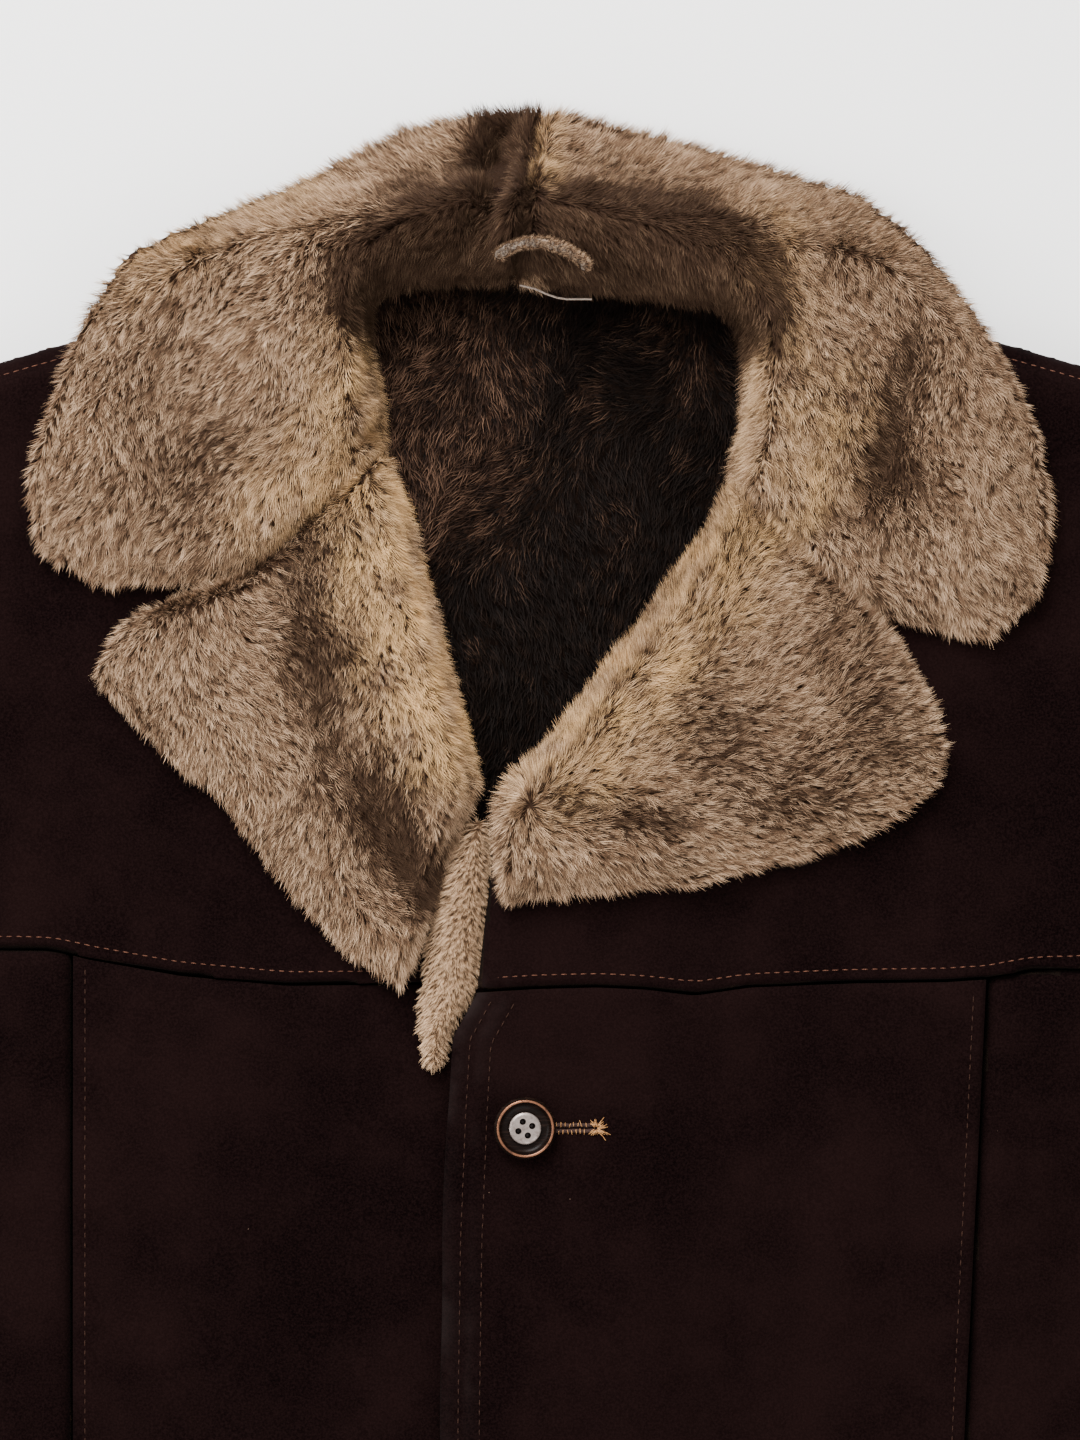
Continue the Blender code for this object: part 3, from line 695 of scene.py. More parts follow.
def build_panel(node, suede, pile):
    """One hide panel: skin outside, pile inside, with its folds and seam edges."""
    under = node == "back" or node.startswith("sleeve_under")
    if node == "front_l":
        edge = list(FRONT_EDGE)
        mesh = flat_front(node, edge, PANEL_SEAM_L, True, (74, 122))
    elif node == "front_r":
        edge = ((LAP_EDGE, -279), (LAP_EDGE, -820))
        mesh = flat_front(node, edge, PANEL_SEAM_R, False, (60, 110))
    else:
        mesh = cad_copy(node)
    skin_faces(mesh, -1 if under else 1)
    if not node.startswith("front"):
        mesh = soft_panel(node, mesh, 3.2 if node.startswith("yoke") else 3.6 if node.startswith("side") else 7.0)
    points = garment(points_of(mesh))
    normals = normals_of(mesh)
    outer = ease((normals[:, 2] * (-1 if under else 1) - 0.1) / 0.4)
    seed = PANELS.index(node)
    if under:
        inside = ease((points[:, 2] - 4.0) / 3.0)
        points[:, 2] += inside * soft_noise(points, 24.0, seed) * 0.5
    else:
        if not node.startswith("sleeve"):
            seam = YOKE_SEAM_R if node.endswith("_r") else YOKE_SEAM_L
            near = ease((34 - line_distance(points, seam)[0]) / 30) * ease((262 - np.abs(points[:, 0])) / 30)
            points[:, 1] += near * np.interp(points[:, 0], *zip(*SEAM_SAG))
        flat = ease((points[:, 2] - 17.0) / 12.0)
        wide = soft_noise(points, 95.0, 3) * 1.4 + soft_noise(points, 38.0, 4) * 0.6
        points[:, 2] += flat * wide
        for name, line, depth, width in FOLDS:
            if name == node:
                distance, _, along, _ = line_distance(points, line)
                points[:, 2] += flat * depth * bump(distance, width) * (0.8 + 0.2 * np.sin(along / 23.0))
        points[:, 2] += lap_edges(node, points, outer * flat)
        if node == "front_l":
            edge_distance = line_distance(points, FRONT_EDGE)[0]
            puff = np.abs(np.sin(pi * np.clip(edge_distance / 8.5, 0, 2)))
            wave = soft_noise(points, 14.0, 9)
            points[:, 2] += outer * puff * (0.8 + 0.5 * wave) * ease((17.5 - edge_distance) / 2)
            points[:, 0] += 0.5 * soft_noise(points, 30.0, 8) * ease((8 - edge_distance) / 8)
    place_points(mesh, np.array([spot(*p) for p in points]))
    # wear along the front edge; the material paints its sheen in as a greyish colour
    rub = np.zeros(len(points))
    if node in ("front_l", "yoke_l"):
        edge_distance = line_distance(points, FRONT_EDGE)[0]
        rub = bump(edge_distance, 5.0) + 0.4 * bump(edge_distance - 12, 2.5)
        rub *= 0.7 + 0.4 * soft_noise(points, 35.0, 12)
    set_values(mesh, "rub", rub)
    index = np.array([p.material_index for p in mesh.polygons], np.int32)
    obj = show(piece_name(node), mesh, (suede, pile))
    mesh.polygons.foreach_set("material_index", index)
    finish_piece(obj, (node,))
    return obj


# ---------------------------------------------------------------- fur

def tuft_mesh(name, hairs, spread, length, width, bend, seed):
    """A lock of fine hairs leaning towards +X; 'along' runs from root to tip."""
    rng = np.random.default_rng(seed)
    points, places = [], []
    for i in range(hairs):
        root = np.append(rng.normal(size=2) * spread * 0.5, 0.0)
        turn = rng.uniform(0, pi)
        size = length * rng.uniform(0.6, 1.1)
        lean = bend * rng.uniform(0.6, 1.3)
        side = np.array((cos(turn), sin(turn), 0.0)) * width / 2
        tip = root * 0.7 + np.array((lean, rng.normal() * 0.2, 1 - 0.32 * lean)) * size
        points += [Vector(end) * MM for end in (root - side, root + side, tip)]
        places += [((i + 0.1) / hairs, 0), ((i + 0.9) / hairs, 0), ((i + 0.5) / hairs, 1)]
    mesh = bpy.data.meshes.new(name)
    mesh.from_pydata(points, [], [(3 * i, 3 * i + 1, 3 * i + 2) for i in range(hairs)])
    set_values(mesh, "along", np.tile((0.0, 0.0, 1.0), hairs))
    mesh.shade_smooth()
    return mesh, np.array(places, np.float32)


def fur_tree():
    """Scatters tufts over a skin: the skin's comb, cover and pile values steer them."""
    tree = bpy.data.node_groups.new("fur", "GeometryNodeTree")
    tree.interface.new_socket("Skin", in_out="INPUT", socket_type="NodeSocketGeometry")
    for name, kind, default in (
        ("Tuft", "NodeSocketObject", None), ("Density", "NodeSocketFloat", 400000.0),
        ("Tilt", "NodeSocketFloat", 0.26), ("Spin", "NodeSocketFloat", 0.4),
        ("Smallest", "NodeSocketFloat", 0.75), ("Largest", "NodeSocketFloat", 1.2),
        ("Seed", "NodeSocketInt", 1), ("Material", "NodeSocketMaterial", None),
    ):
        item = tree.interface.new_socket(name, in_out="INPUT", socket_type=kind)
        if default is not None:
            item.default_value = default
    tree.interface.new_socket("Fur", in_out="OUTPUT", socket_type="NodeSocketGeometry")
    g = Graph(tree)
    skin = g.add("NodeGroupInput", {}, {}, "Skin")
    tilt, spin = g.more(skin, "Tilt"), g.more(skin, "Spin")
    cover = g.add("GeometryNodeInputNamedAttribute", {"data_type": "FLOAT"}, {"Name": "cover"}, "Attribute")
    comb = g.add("GeometryNodeInputNamedAttribute", {"data_type": "FLOAT_VECTOR"}, {"Name": "comb"}, "Attribute")
    pile = g.add("GeometryNodeInputNamedAttribute", {"data_type": "FLOAT"}, {"Name": "pile"}, "Attribute")
    roots = g.add(
        "GeometryNodeDistributePointsOnFaces", {},
        {"Mesh": skin, "Density": g.more(skin, "Density") * cover, "Seed": g.more(skin, "Seed")}, "Points",
    )
    stance = g.add(
        "FunctionNodeAxesToRotation", {"primary_axis": "Z", "secondary_axis": "X"},
        {0: g.more(roots, "Normal"), 1: comb},
    )
    low = g.add("ShaderNodeCombineXYZ", {}, {0: 0.0 - tilt, 1: 0.0 - tilt, 2: 0.0 - spin})
    high = g.add("ShaderNodeCombineXYZ", {}, {0: tilt, 1: tilt, 2: spin})
    turn = g.add(
        "FunctionNodeRandomValue", {"data_type": "FLOAT_VECTOR"}, {"Min": low, "Max": high, "Seed": 3}, "Value"
    )
    stance = g.add("FunctionNodeRotateRotation", {"rotation_space": "LOCAL"}, {0: stance, 1: turn})
    size = g.add(
        "FunctionNodeRandomValue", {"data_type": "FLOAT"},
        {"Min": g.more(skin, "Smallest"), "Max": g.more(skin, "Largest"), "Seed": 5}, "Value",
    )
    tuft = g.add("GeometryNodeObjectInfo", {}, {"Object": g.more(skin, "Tuft")}, "Geometry")
    fur = g.add(
        "GeometryNodeInstanceOnPoints", {},
        {"Points": roots, "Instance": tuft, "Rotation": stance, "Scale": size * pile},
    )
    tone = g.add("FunctionNodeRandomValue", {"data_type": "FLOAT"}, {"Seed": 9}, "Value")
    fur = g.add(
        "GeometryNodeStoreNamedAttribute", {"data_type": "FLOAT", "domain": "INSTANCE"},
        {"Geometry": fur, "Name": "tone", "Value": tone},
    )
    fur = g.add("GeometryNodeRealizeInstances", {}, {"Geometry": fur})
    fur = g.add("GeometryNodeSetMaterial", {}, {"Geometry": fur, "Material": g.more(skin, "Material")})
    g.add("NodeGroupOutput", {}, {"Fur": fur})
    return tree


def run_tree(obj, tree, inputs, name):
    """The result of a Geometry Nodes tree on an object, as a plain mesh."""
    modifier = obj.modifiers.new(tree.name, "NODES")
    modifier.node_group = tree
    identifiers = {
        item.name: item.identifier
        for item in tree.interface.items_tree
        if item.item_type == "SOCKET" and item.in_out == "INPUT"
    }
    for key, value in inputs.items():
        modifier[identifiers[key]] = value
    mesh = plain_mesh(obj, name)
    obj.modifiers.remove(modifier)
    return mesh


def grow(skin, name, tuft, places, mat, slot, density, seed, **more):
    """Fur over a skin as its own piece, with a map that gives each hair its own room."""
    stock = bpy.data.node_groups.get("fur") or fur_tree()
    lock = show(name + "_lock", tuft)
    inputs = {"Tuft": lock, "Density": density, "Seed": seed, "Material": mat, **more}
    mesh = run_tree(skin, stock, inputs, name)
    drop(lock)
    count = len(mesh.loops) // len(places)
    across = ceil(sqrt(count))
    index = np.arange(count)
    points = points_of(mesh)
    points[:, 2] = np.maximum(points[:, 2], 0.2 * MM)
    place_points(mesh, points)
    corner = np.stack((index % across, index // across), 1).repeat(len(places), 0)
    spots = (corner + 0.05 + 0.9 * np.tile(places, (count, 1))) / across
    for layer in list(mesh.uv_layers):
        mesh.uv_layers.remove(layer)
    mesh.uv_layers.new(name="OFBake").data.foreach_set("uv", spots.astype(np.float32).ravel())
    obj = show(name, mesh)
    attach(obj, BODY)
    return obj


# Hollows and ridges in the fur pieces: node, line, depth and width in millimetres
FUR_FOLDS = (
    ("collar_r", ((-14, 70), (-13, 50), (-16, 36), (-22, 26)), -11, 6),
    ("collar_l", ((2, 70), (0, 52), (-4, 38)), 4, 6),
    ("collar_r", ((-64, -54), (-82, -80), (-92, -92), (-110, -110)), -6, 4),
    ("collar_r", ((-150, -20), (-140, -60), (-150, -95)), -4, 22),
    ("collar_r", ((-95, 10), (-105, -30), (-100, -70)), 2.5, 18),
    ("collar_l", ((152, -16), (146, -46), (137, -76)), -6, 9),
    ("collar_l", ((106, -102), (118, -92), (128, -84)), -4, 5),
    ("collar_l", ((178, -40), (176, -80), (160, -112)), 2, 14),
    ("lapel_r", ((-92, -92), (-104, -118), (-92, -150), (-68, -190), (-48, -236)), -5, 12),
    ("lapel_r", ((-64, -84), (-60, -130), (-44, -180)), 3, 12),
    ("lapel_r", ((-66, -70), (-84, -86), (-98, -100)), -3.5, 5),
    ("lapel_l", ((6, -205), (22, -206), (44, -207)), -3.5, 3.5),
    ("lapel_l", ((104, -108), (112, -130), (104, -170), (84, -205)), -3, 14),
    ("lapel_l", ((92, -86), (106, -100), (126, -118)), -4, 4),
)


def fur_skin(node, inset, lumps):
    """The dense pile under the tufts: the node's form, softened and drawn in."""
    work = show(node + "_work", cad_copy(node))
    merge = work.modifiers.new("even", "REMESH")
    merge.mode = "VOXEL"
    merge.voxel_size = 3.0 * MM
    smooth = work.modifiers.new("soft", "SMOOTH")
    smooth.factor = 0.5
    smooth.iterations = 6
    mesh = plain_mesh(work, node + "_skin")
    drop(work)
    points = garment(points_of(mesh))
    normals = normals_of(mesh)
    over = ease((normals[:, 2] + 0.15) / 0.4)
    points -= normals * (inset * over[:, None])
    push = soft_noise(points, 17.0, 21) * 0.9 + soft_noise(points, 8.0, 22) * 0.5
    push *= lumps
    for name, line, depth, width in FUR_FOLDS:
        if name == node:
            push += depth * bump(line_distance(points, line)[0], width)
    points += normals * (push * over)[:, None]
    points[:, 2] = np.maximum(points[:, 2], 0.4)
    place_points(mesh, np.array([spot(*p) for p in points]))
    return mesh


def set_tone(mesh, points, normals, comb, cover, gold, dark, pile):
    """The values that steer and colour the hairs that grow from a skin."""
    set_values(mesh, "comb", comb)
    set_values(mesh, "cover", cover)
    set_values(mesh, "gold", np.clip(gold, 0, 1))
    # 'dark' darkens the hair and base; on the collars, lapels and neck lining it is painted shade
    set_values(mesh, "dark", np.clip(dark, 0, 1))
    set_values(mesh, "pile", pile)
    rim = ease((0.85 - normals[:, 2]) / 0.7) * ease((points[:, 2] - 14) / 12)
    for line in (CENTRE_BACK, GORGE_R, GORGE_L, NECK_SEAM):
        rim *= 1 - bump(line_distance(points, line)[0], 12.0)
    rim *= 1 - 0.8 * ease((points[:, 1] + 10) / 25)
    rim *= 0.55 * (0.8 + 0.5 * soft_noise(points, 7.0, 46))
    set_values(mesh, "rim", rim)


def comb_and_tone(mesh, way, stand, gold_lines, painted_shade_lines):
    """Sets which way the fur lies, where it is golden and where painted shade darkens it; returns where the skin faces
    down.
    """
    points = garment(points_of(mesh))
    normals = normals_of(mesh)
    fan = points[:, :2] - FAN_CENTRE
    fan /= np.maximum(np.linalg.norm(fan, axis=1), 8.0)[:, None]
    lie = np.array(way[:2]) + fan * way[2]
    if not way[2]:
        lift = ease((points[:, 1] - 8) / 62)
        lie[:, 1] += 1.6 * lift
        lie[:, 0] *= 1 + 1.6 * np.sin(pi * lift)
    swirl = soft_noise(points, 30.0, 31) * way[3] + soft_noise(points, 9.0, 32) * 0.3
    comb = np.stack((
        lie[:, 0] * np.cos(swirl) - lie[:, 1] * np.sin(swirl),
        lie[:, 0] * np.sin(swirl) + lie[:, 1] * np.cos(swirl),
        np.full(len(points), -0.05),
    ), 1)
    under = ease((-normals[:, 2] - 0.55) / 0.3)
    gold = np.zeros(len(points))
    for line, width, strength in gold_lines:
        gold += strength * bump(line_distance(points, line)[0], width)
    gold *= 0.75 + 0.5 * soft_noise(points, 9.0, 41)
    # painted shade: random darker patches, then shade painted into the hollows, creases and the collar's stand
    dark = 0.08 + 0.16 * soft_noise(points, 22.0, 42)
    for line, width, strength in painted_shade_lines:
        dark += strength * bump(line_distance(points, line)[0], width)
    stand_distance = line_distance(points, STAND_LINE)[0]
    dark += stand * (1.0 * bump(stand_distance, 17.0) + 0.5 * bump(stand_distance, 26.0))
    dark -= 1.6 * bump(line_distance(points, LOOP_PILE)[0], 5.0)
    set_tone(mesh, points, normals, comb, 1 - under, gold, dark, 0.95 + 0.12 * soft_noise(points, 14.0, 43))
    return under


# Fur pieces: node, lie (x, y, fanning, swirl), painted shade on the stand, golden lines, lines of painted shade
FAN_CENTRE = np.array((-2.0, -206.0))
PALE_LINING = ((-52, -20), (-42, -56), (-30, -76))
LOOP_PILE = ((-5, 6), (1, 8))
# the collar's stand, where painted shade is laid
STAND_LINE = ((-56, 6), (-40, 16), (-8, 20), (34, 18), (66, 8), (80, -8))
FUR_PIECES = (
    (
        "collar_r", (-0.35, -0.9, 0.0, 0.35), 1.0,
        ((((-66, -30), (-76, -60), (-96, -90)), 20, 0.55), (((-98, 48), (-130, 30), (-160, 14)), 16, 0.4)),
        ((((-13, 74), (-12, 50), (-14, 34), (-22, 22)), 11, 2.2), (((-24, 44), (-44, 30)), 14, 0.5),
         (((-150, -30), (-136, -60), (-146, -92)), 26, 0.3), (NECK_SEAM, 18, 1.0)),
    ),
    (
        "collar_l", (0.42, -0.9, 0.0, 0.35), 0.8,
        ((((95, -60), (98, -20), (92, 20)), 14, 0.3), (((106, -86), (118, -66), (124, -40)), 10, 0.6),
         (((2, 70), (3, 44)), 6, 0.55)),
        ((((152, -14), (147, -40), (137, -72)), 11, 0.5), (NECK_SEAM, 20, 1.0),
         (((20, 34), (60, 34), (88, 16)), 12, 0.45), (((130, -40), (150, -110)), 26, 0.3)),
    ),
    (
        "lapel_r", (0.42, -0.9, 0.0, 0.5), 0.0,
        ((((-64, -80), (-62, -112), (-52, -146), (-36, -180)), 17, 1.0),),
        ((((-94, -104), (-96, -130), (-80, -170), (-56, -215), (-46, -238)), 18, 0.62),
         (((-60, -205), (-46, -236)), 12, 0.5),),
    ),
    (
        "lapel_l", (0.0, 0.0, 1.0, 0.25), 0.0,
        ((((86, -92), (60, -130), (34, -165), (12, -190)), 19, 0.7),),
        ((((74, -176), (92, -204)), 22, 0.5), (((8, -206), (52, -212)), 8, 0.6),
         (((118, -104), (112, -150)), 9, 0.35),
         (((140, -172), (150, -190)), 22, 0.5)),
    ),
)


# ---------------------------------------------------------------- stitches and fastening

def stitch_tree():
    """Lays stitches along curves at an even pitch."""
    tree = bpy.data.node_groups.new("stitching", "GeometryNodeTree")
    tree.interface.new_socket("Lines", in_out="INPUT", socket_type="NodeSocketGeometry")
    for name, kind, default in (
        ("Stitch", "NodeSocketObject", None), ("Pitch", "NodeSocketFloat", 0.0039),
        ("Wander", "NodeSocketFloat", 0.05), ("Material", "NodeSocketMaterial", None),
    ):
        item = tree.interface.new_socket(name, in_out="INPUT", socket_type=kind)
        if default is not None:
            item.default_value = default
    tree.interface.new_socket("Seam", in_out="OUTPUT", socket_type="NodeSocketGeometry")
    g = Graph(tree)
    lines = g.add("NodeGroupInput", {}, {}, "Lines")
    wander = g.more(lines, "Wander")
    dots = g.add("GeometryNodeResampleCurve", {"mode": "LENGTH"}, {"Curve": lines, "Length": g.more(lines, "Pitch")})
    tangent = g.add("GeometryNodeInputTangent", {})
    stance = g.add(
        "FunctionNodeAxesToRotation", {"primary_axis": "X", "secondary_axis": "Z"}, {0: tangent, 1: (0, 0, 1)}
    )
    low = g.add("ShaderNodeCombineXYZ", {}, {0: 0.0 - wander, 1: 0.0 - wander, 2: 0.0 - wander})
    high = g.add("ShaderNodeCombineXYZ", {}, {0: wander, 1: wander, 2: wander})
    turn = g.add(
        "FunctionNodeRandomValue", {"data_type": "FLOAT_VECTOR"}, {"Min": low, "Max": high, "Seed": 2}, "Value"
    )
    stance = g.add("FunctionNodeRotateRotation", {"rotation_space": "LOCAL"}, {0: stance, 1: turn})
    stitch = g.add("GeometryNodeObjectInfo", {}, {"Object": g.more(lines, "Stitch")}, "Geometry")
    seam = g.add("GeometryNodeInstanceOnPoints", {}, {"Points": dots, "Instance": stitch, "Rotation": stance})
    seam = g.add("GeometryNodeRealizeInstances", {}, {"Geometry": seam})
    seam = g.add("GeometryNodeSetMaterial", {}, {"Geometry": seam, "Material": g.more(lines, "Material")})
    g.add("NodeGroupOutput", {}, {"Seam": seam})
    return tree


def stitch_mesh(length, radius):
    """A short thread that dips into the hide at both ends."""
    rings, sides = 4, 4
    bm = bmesh.new()
    loops = []
    for i in range(rings):
        t = i / (rings - 1) * 2 - 1
        fat = radius * (0.55 + 0.45 * sqrt(max(1 - t * t, 0)))
        centre = Vector((t * length / 2, 0, radius * (0.9 - 1.6 * t * t)))
        loops.append([
            bm.verts.new((centre + Vector((0, cos(2 * pi * k / sides) * fat, sin(2 * pi * k / sides) * fat))) * MM)
            for k in range(sides)
        ])
    for a, b in zip(loops, loops[1:]):
        for k in range(sides):
            bm.faces.new((a[k], b[k], b[(k + 1) % sides], a[(k + 1) % sides]))
    bm.faces.new(loops[0])
    bm.faces.new(loops[-1][::-1])
    bmesh.ops.recalc_face_normals(bm, faces=bm.faces)
    mesh = bpy.data.meshes.new("stitch")
    bm.to_mesh(mesh)
    bm.free()
    mesh.shade_smooth()
    return mesh


def draped_curve(name, lines, height, spacing):
    """Curves that follow lines over a surface."""
    curve = bpy.data.curves.new(name, "CURVE")
    curve.dimensions = "3D"
    for line in lines:
        places = [(x, y, height(x, y)) for x, y in split_line(line, spacing)]
        places = [p for p in places if p[2] is not None]
        spline = curve.splines.new("POLY")
        spline.points.add(len(places) - 1)
        for point, place in zip(spline.points, places):
            point.co = (*spot(*place), 1.0)
    return show(name, curve)


def lathe(profile, steps, centre, tilt):
    """A turned shape from radius and height pairs, leaned a little as it lies."""
    bm = bmesh.new()
    rings = []
    for radius, height in profile:
        if radius == 0:
            rings.append([bm.verts.new((0, 0, height * MM))])
        else:
            rings.append([
                bm.verts.new(
                    (radius * MM * cos(2 * pi * k / steps), radius * MM * sin(2 * pi * k / steps), height * MM)
                )
                for k in range(steps)
            ])
    for a, b in zip(rings, rings[1:]):
        for k in range(steps):
            n = (k + 1) % steps
            if len(a) == 1:
                corners = [a[0], b[n], b[k]]
            elif len(b) == 1:
                corners = [a[k], a[n], b[0]]
            else:
                corners = [a[k], a[n], b[n], b[k]]
            bm.faces.new(corners)
    bmesh.ops.recalc_face_normals(bm, faces=bm.faces)
    turn = Matrix.Rotation(tilt[0], 4, "X") @ Matrix.Rotation(tilt[1], 4, "Y")
    bmesh.ops.transform(bm, matrix=Matrix.Translation(centre) @ turn, verts=bm.verts)
    mesh = bpy.data.meshes.new("turned")
    bm.to_mesh(mesh)
    bm.free()
    return mesh


def arc(radius, height, bulge, start, end, count):
    """Points of a rounded lip, by angle in degrees."""
    return [
        (radius + bulge * cos(radians(start + (end - start) * i / count)),
         height + bulge * sin(radians(start + (end - start) * i / count)))
        for i in range(count + 1)
    ]


def build_button(number, look):
    """Turned horn body with a copper rim, a pale four-hole centre and dark thread."""
    node = f"button_{number}"
    low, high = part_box(node)
    centre = Vector(((low.x + high.x) / 2, (low.y + high.y) / 2, low.z))
    tilt = (radians((2.0, -1.0, 1.2)[number - 1]), radians((5.0, -2.0, 2.2)[number - 1]))
    body = [(0, 2.2), (6.3, 2.2), (6.6, 2.5), (7.6, 2.35), (8.9, 2.7), (9.9, 3.5)]
    body += arc(10.9, 3.9, 0.75, 150, 20, 6) + arc(11.5, 2.9, 1.0, 40, -40, 6) + [(11.3, 1.3), (9.5, 0.1), (0, 0)]
    horn = show(f"button-{number}", lathe(body, 72, centre, tilt), (look["horn"],))
    finish_piece(horn, (node,))
    rim = arc(11.0, 4.25, 0.55, -30, 210, 10)
    copper = show(f"button-rim-{number}", lathe(rim + rim[:1], 72, centre, tilt), (look["copper"],))
    finish_piece(copper, ())
    disc = [(0, 4.0), (3.6, 4.0), (5.0, 4.15), (5.9, 4.05), (6.35, 3.6), (6.4, 2.3), (0, 2.3)]
    pale = show(f"button-centre-{number}", lathe(disc, 64, centre, tilt), (look["pewter"],))
    for i in range(4):
        angle = radians(20) + i * pi / 2
        tool = show(
            "hole",
            lathe(
                [(0, 8), (1.3, 8), (1.3, -1), (0, -1)], 20,
                centre + Vector((2.95 * cos(angle), 2.95 * sin(angle), 0)) * MM, tilt,
            ),
        )
        cut = pale.modifiers.new("hole", "BOOLEAN")
        cut.object = tool
        mesh = plain_mesh(pale, pale.name)
        pale.modifiers.clear()
        pale.data = mesh
        drop(tool)
    finish_piece(pale, (f"button_centre_{number}",))
    pale.data.set_sharp_from_angle(angle=radians(40))
    shank_low, shank_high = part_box(f"button_shank_{number}")
    shank = [(0, 0), (1.2, 0.1), (1.45, 1.5), (1.3, 4.0), (1.45, 7.0), (1.2, 8.5), (0, 8.6)]
    base = Vector(((shank_low.x + shank_high.x) / 2, (shank_low.y + shank_high.y) / 2, shank_low.z))
    thread = show(f"button-shank-{number}", lathe(shank, 20, base, (0, 0)), (look["thread"],))
    finish_piece(thread, (f"button_shank_{number}",))
    knots = bmesh.new()
    for i in range(4):
        angle = radians(20) + i * pi / 2
        spot_at = centre + Vector((2.8 * cos(angle), 2.8 * sin(angle), 2.2)) * MM
        bmesh.ops.create_uvsphere(
            knots, u_segments=10, v_segments=6, radius=1.1 * MM, matrix=Matrix.Translation(spot_at)
        )
    mesh = bpy.data.meshes.new("knots")
    knots.to_mesh(mesh)
    knots.free()
    ends = show(f"button-thread-{number}", mesh, (look["thread"],))
    finish_piece(ends, ())


def build_buttonhole(number, y, height, lip_mat, gold_mat):
    """The hole's two lips with their dark whipping, and the worn golden threads at its eye."""
    rng = np.random.default_rng(50 + number)
    curve = bpy.data.curves.new(f"buttonhole-{number}", "CURVE")
    curve.dimensions = "3D"
    curve.bevel_depth = 0.85 * MM
    curve.bevel_resolution = 3
    curve.use_fill_caps = True
    for side in (-1, 1):
        spline = curve.splines.new("POLY")
        places = []
        for i in range(16):
            t = i / 15
            x = SLOT_ENDS[0] + 2 + (SLOT_ENDS[1] - SLOT_ENDS[0] - 3) * t
            off = 1.15 + 0.12 * sin(i * 1.9 + side) if t < 0.96 else 0.6
            places.append((x, y + side * off))
        spline.points.add(len(places) - 1)
        for point, (x, py) in zip(spline.points, places):
            point.co = (*spot(x, py, height(x, py + side * 2.5) - 0.1), 1.0)
    work = show("lips", curve)
    lips = show(f"buttonhole-{number}", plain_mesh(work, "lips"), (lip_mat,))
    drop(work)
    finish_piece(lips, ())
    threads = bpy.data.curves.new("threads", "CURVE")
    threads.dimensions = "3D"
    threads.bevel_depth = 0.2 * MM
    threads.bevel_resolution = 1
    eye = SLOT_ENDS[1] - 4.0
    for i in range(46):
        if i < 30:
            angle = -2.4 + 4.8 * i / 29 + rng.normal() * 0.12
            root = Vector((eye + 0.8 * cos(angle), y + 0.8 * sin(angle), 0))
            way = Vector((cos(angle), sin(angle) * 0.75, 0))
            length = rng.uniform(2.0, 5.2) * (1.25 if cos(angle) > 0.3 else 0.8)
        else:
            side = 1 if i % 2 else -1
            root = Vector((SLOT_ENDS[0] + 15 + (i - 30) * 0.85, y + side * 0.7, 0))
            way = Vector((rng.normal() * 0.25, side, 0)).normalized()
            length = rng.uniform(1.2, 2.4)
        spline = threads.splines.new("POLY")
        spline.points.add(3)
        for k, point in enumerate(spline.points):
            t = k / 3
            place = root + way * (length * t) + Vector((0, rng.normal() * 0.15, 0))
            arch = 1.5 * sin(pi * min(t * 1.1, 1)) + 0.15
            point.co = (*spot(place.x, place.y, height(place.x, place.y + (3 if place.y > y else -3)) + arch), 1.0)
            point.radius = 1.0 - 0.5 * t
    work = show("threads", threads)
    gold = show(f"buttonhole-thread-{number}", plain_mesh(work, "gold"), (gold_mat,))
    drop(work)
    finish_piece(gold, ())


# ---------------------------------------------------------------- add-on

class CoatLook(bpy.types.PropertyGroup):
    """Colours of the coat and its stage."""

    def colour(name, description, default):
        return bpy.props.FloatVectorProperty(
            name=name, description=description, default=default, subtype="COLOR", min=0.0, max=1.0
        )

    suede_dark: colour("Suede, dark", "Deepest colour of the suede", (0.0012, 0.0006, 0.0007))
    suede_warm: colour("Suede, warm", "Reddish brown clouds in the suede", (0.0046, 0.0021, 0.002))
    # greyish colour of the rubbed edge: wear, with painted sheen
    suede_rubbed_sheen: colour("Suede, rubbed", "Greyish polish at the front edge", (0.013, 0.0095, 0.009))
    fur_root: colour("Fur, root", "Colour near the skin", (0.026, 0.0125, 0.0065))
    fur_body: colour("Fur, body", "Colour of most of the hair", (0.165, 0.094, 0.052))
    fur_tip: colour("Fur, tip", "Pale ends of the hair", (0.5, 0.335, 0.21))
    fur_gold: colour("Fur, golden", "Yellowed areas by the roll", (0.74, 0.46, 0.2))
    # painted shade: the brown given to the fur's hollows and the collar's stand
    fur_shade: colour("Fur, shade", "Brown hollows", (0.02, 0.0092, 0.005))
    lining_body: colour("Lining, body", "Colour of the pile inside", (0.022, 0.0108, 0.0068))
    lining_tip: colour("Lining, tip", "Paler ends inside", (0.11, 0.06, 0.037))
    thread: colour("Thread", "Topstitching", (0.036, 0.013, 0.008))
    thread_pale: colour("Thread, pale", "Worn topstitching", (0.12, 0.05, 0.03))
    horn: colour("Horn", "Button body", (0.0035, 0.0018, 0.0013))
    floor: colour("Floor", "Studio floor", (0.86, 0.85, 0.84))


class CoatSizes(bpy.types.PropertyGroup):
    """Sizes of the fur and stitching."""

    fur_length: bpy.props.FloatProperty(
        name="Fur length", description="Length of a hair in millimetres", default=6.2, min=2.0, max=20.0
    )
    hair_width: bpy.props.FloatProperty(
        name="Hair width", description="Width of a hair at its root in millimetres", default=0.36, min=0.1, max=2.0
    )
    fur_density: bpy.props.FloatProperty(
        name="Fur density", description="Locks to a square millimetre", default=0.69, min=0.05, max=2.0
    )
    stitch_pitch: bpy.props.FloatProperty(
        name="Stitch pitch", description="Distance between stitches in millimetres", default=3.9, min=1.0, max=10.0
    )


def material_once(name, make, *values):
    return bpy.data.materials.get(name) or make(*values)


def pieces_named(names):
    return [bpy.data.objects[name] for name in names]


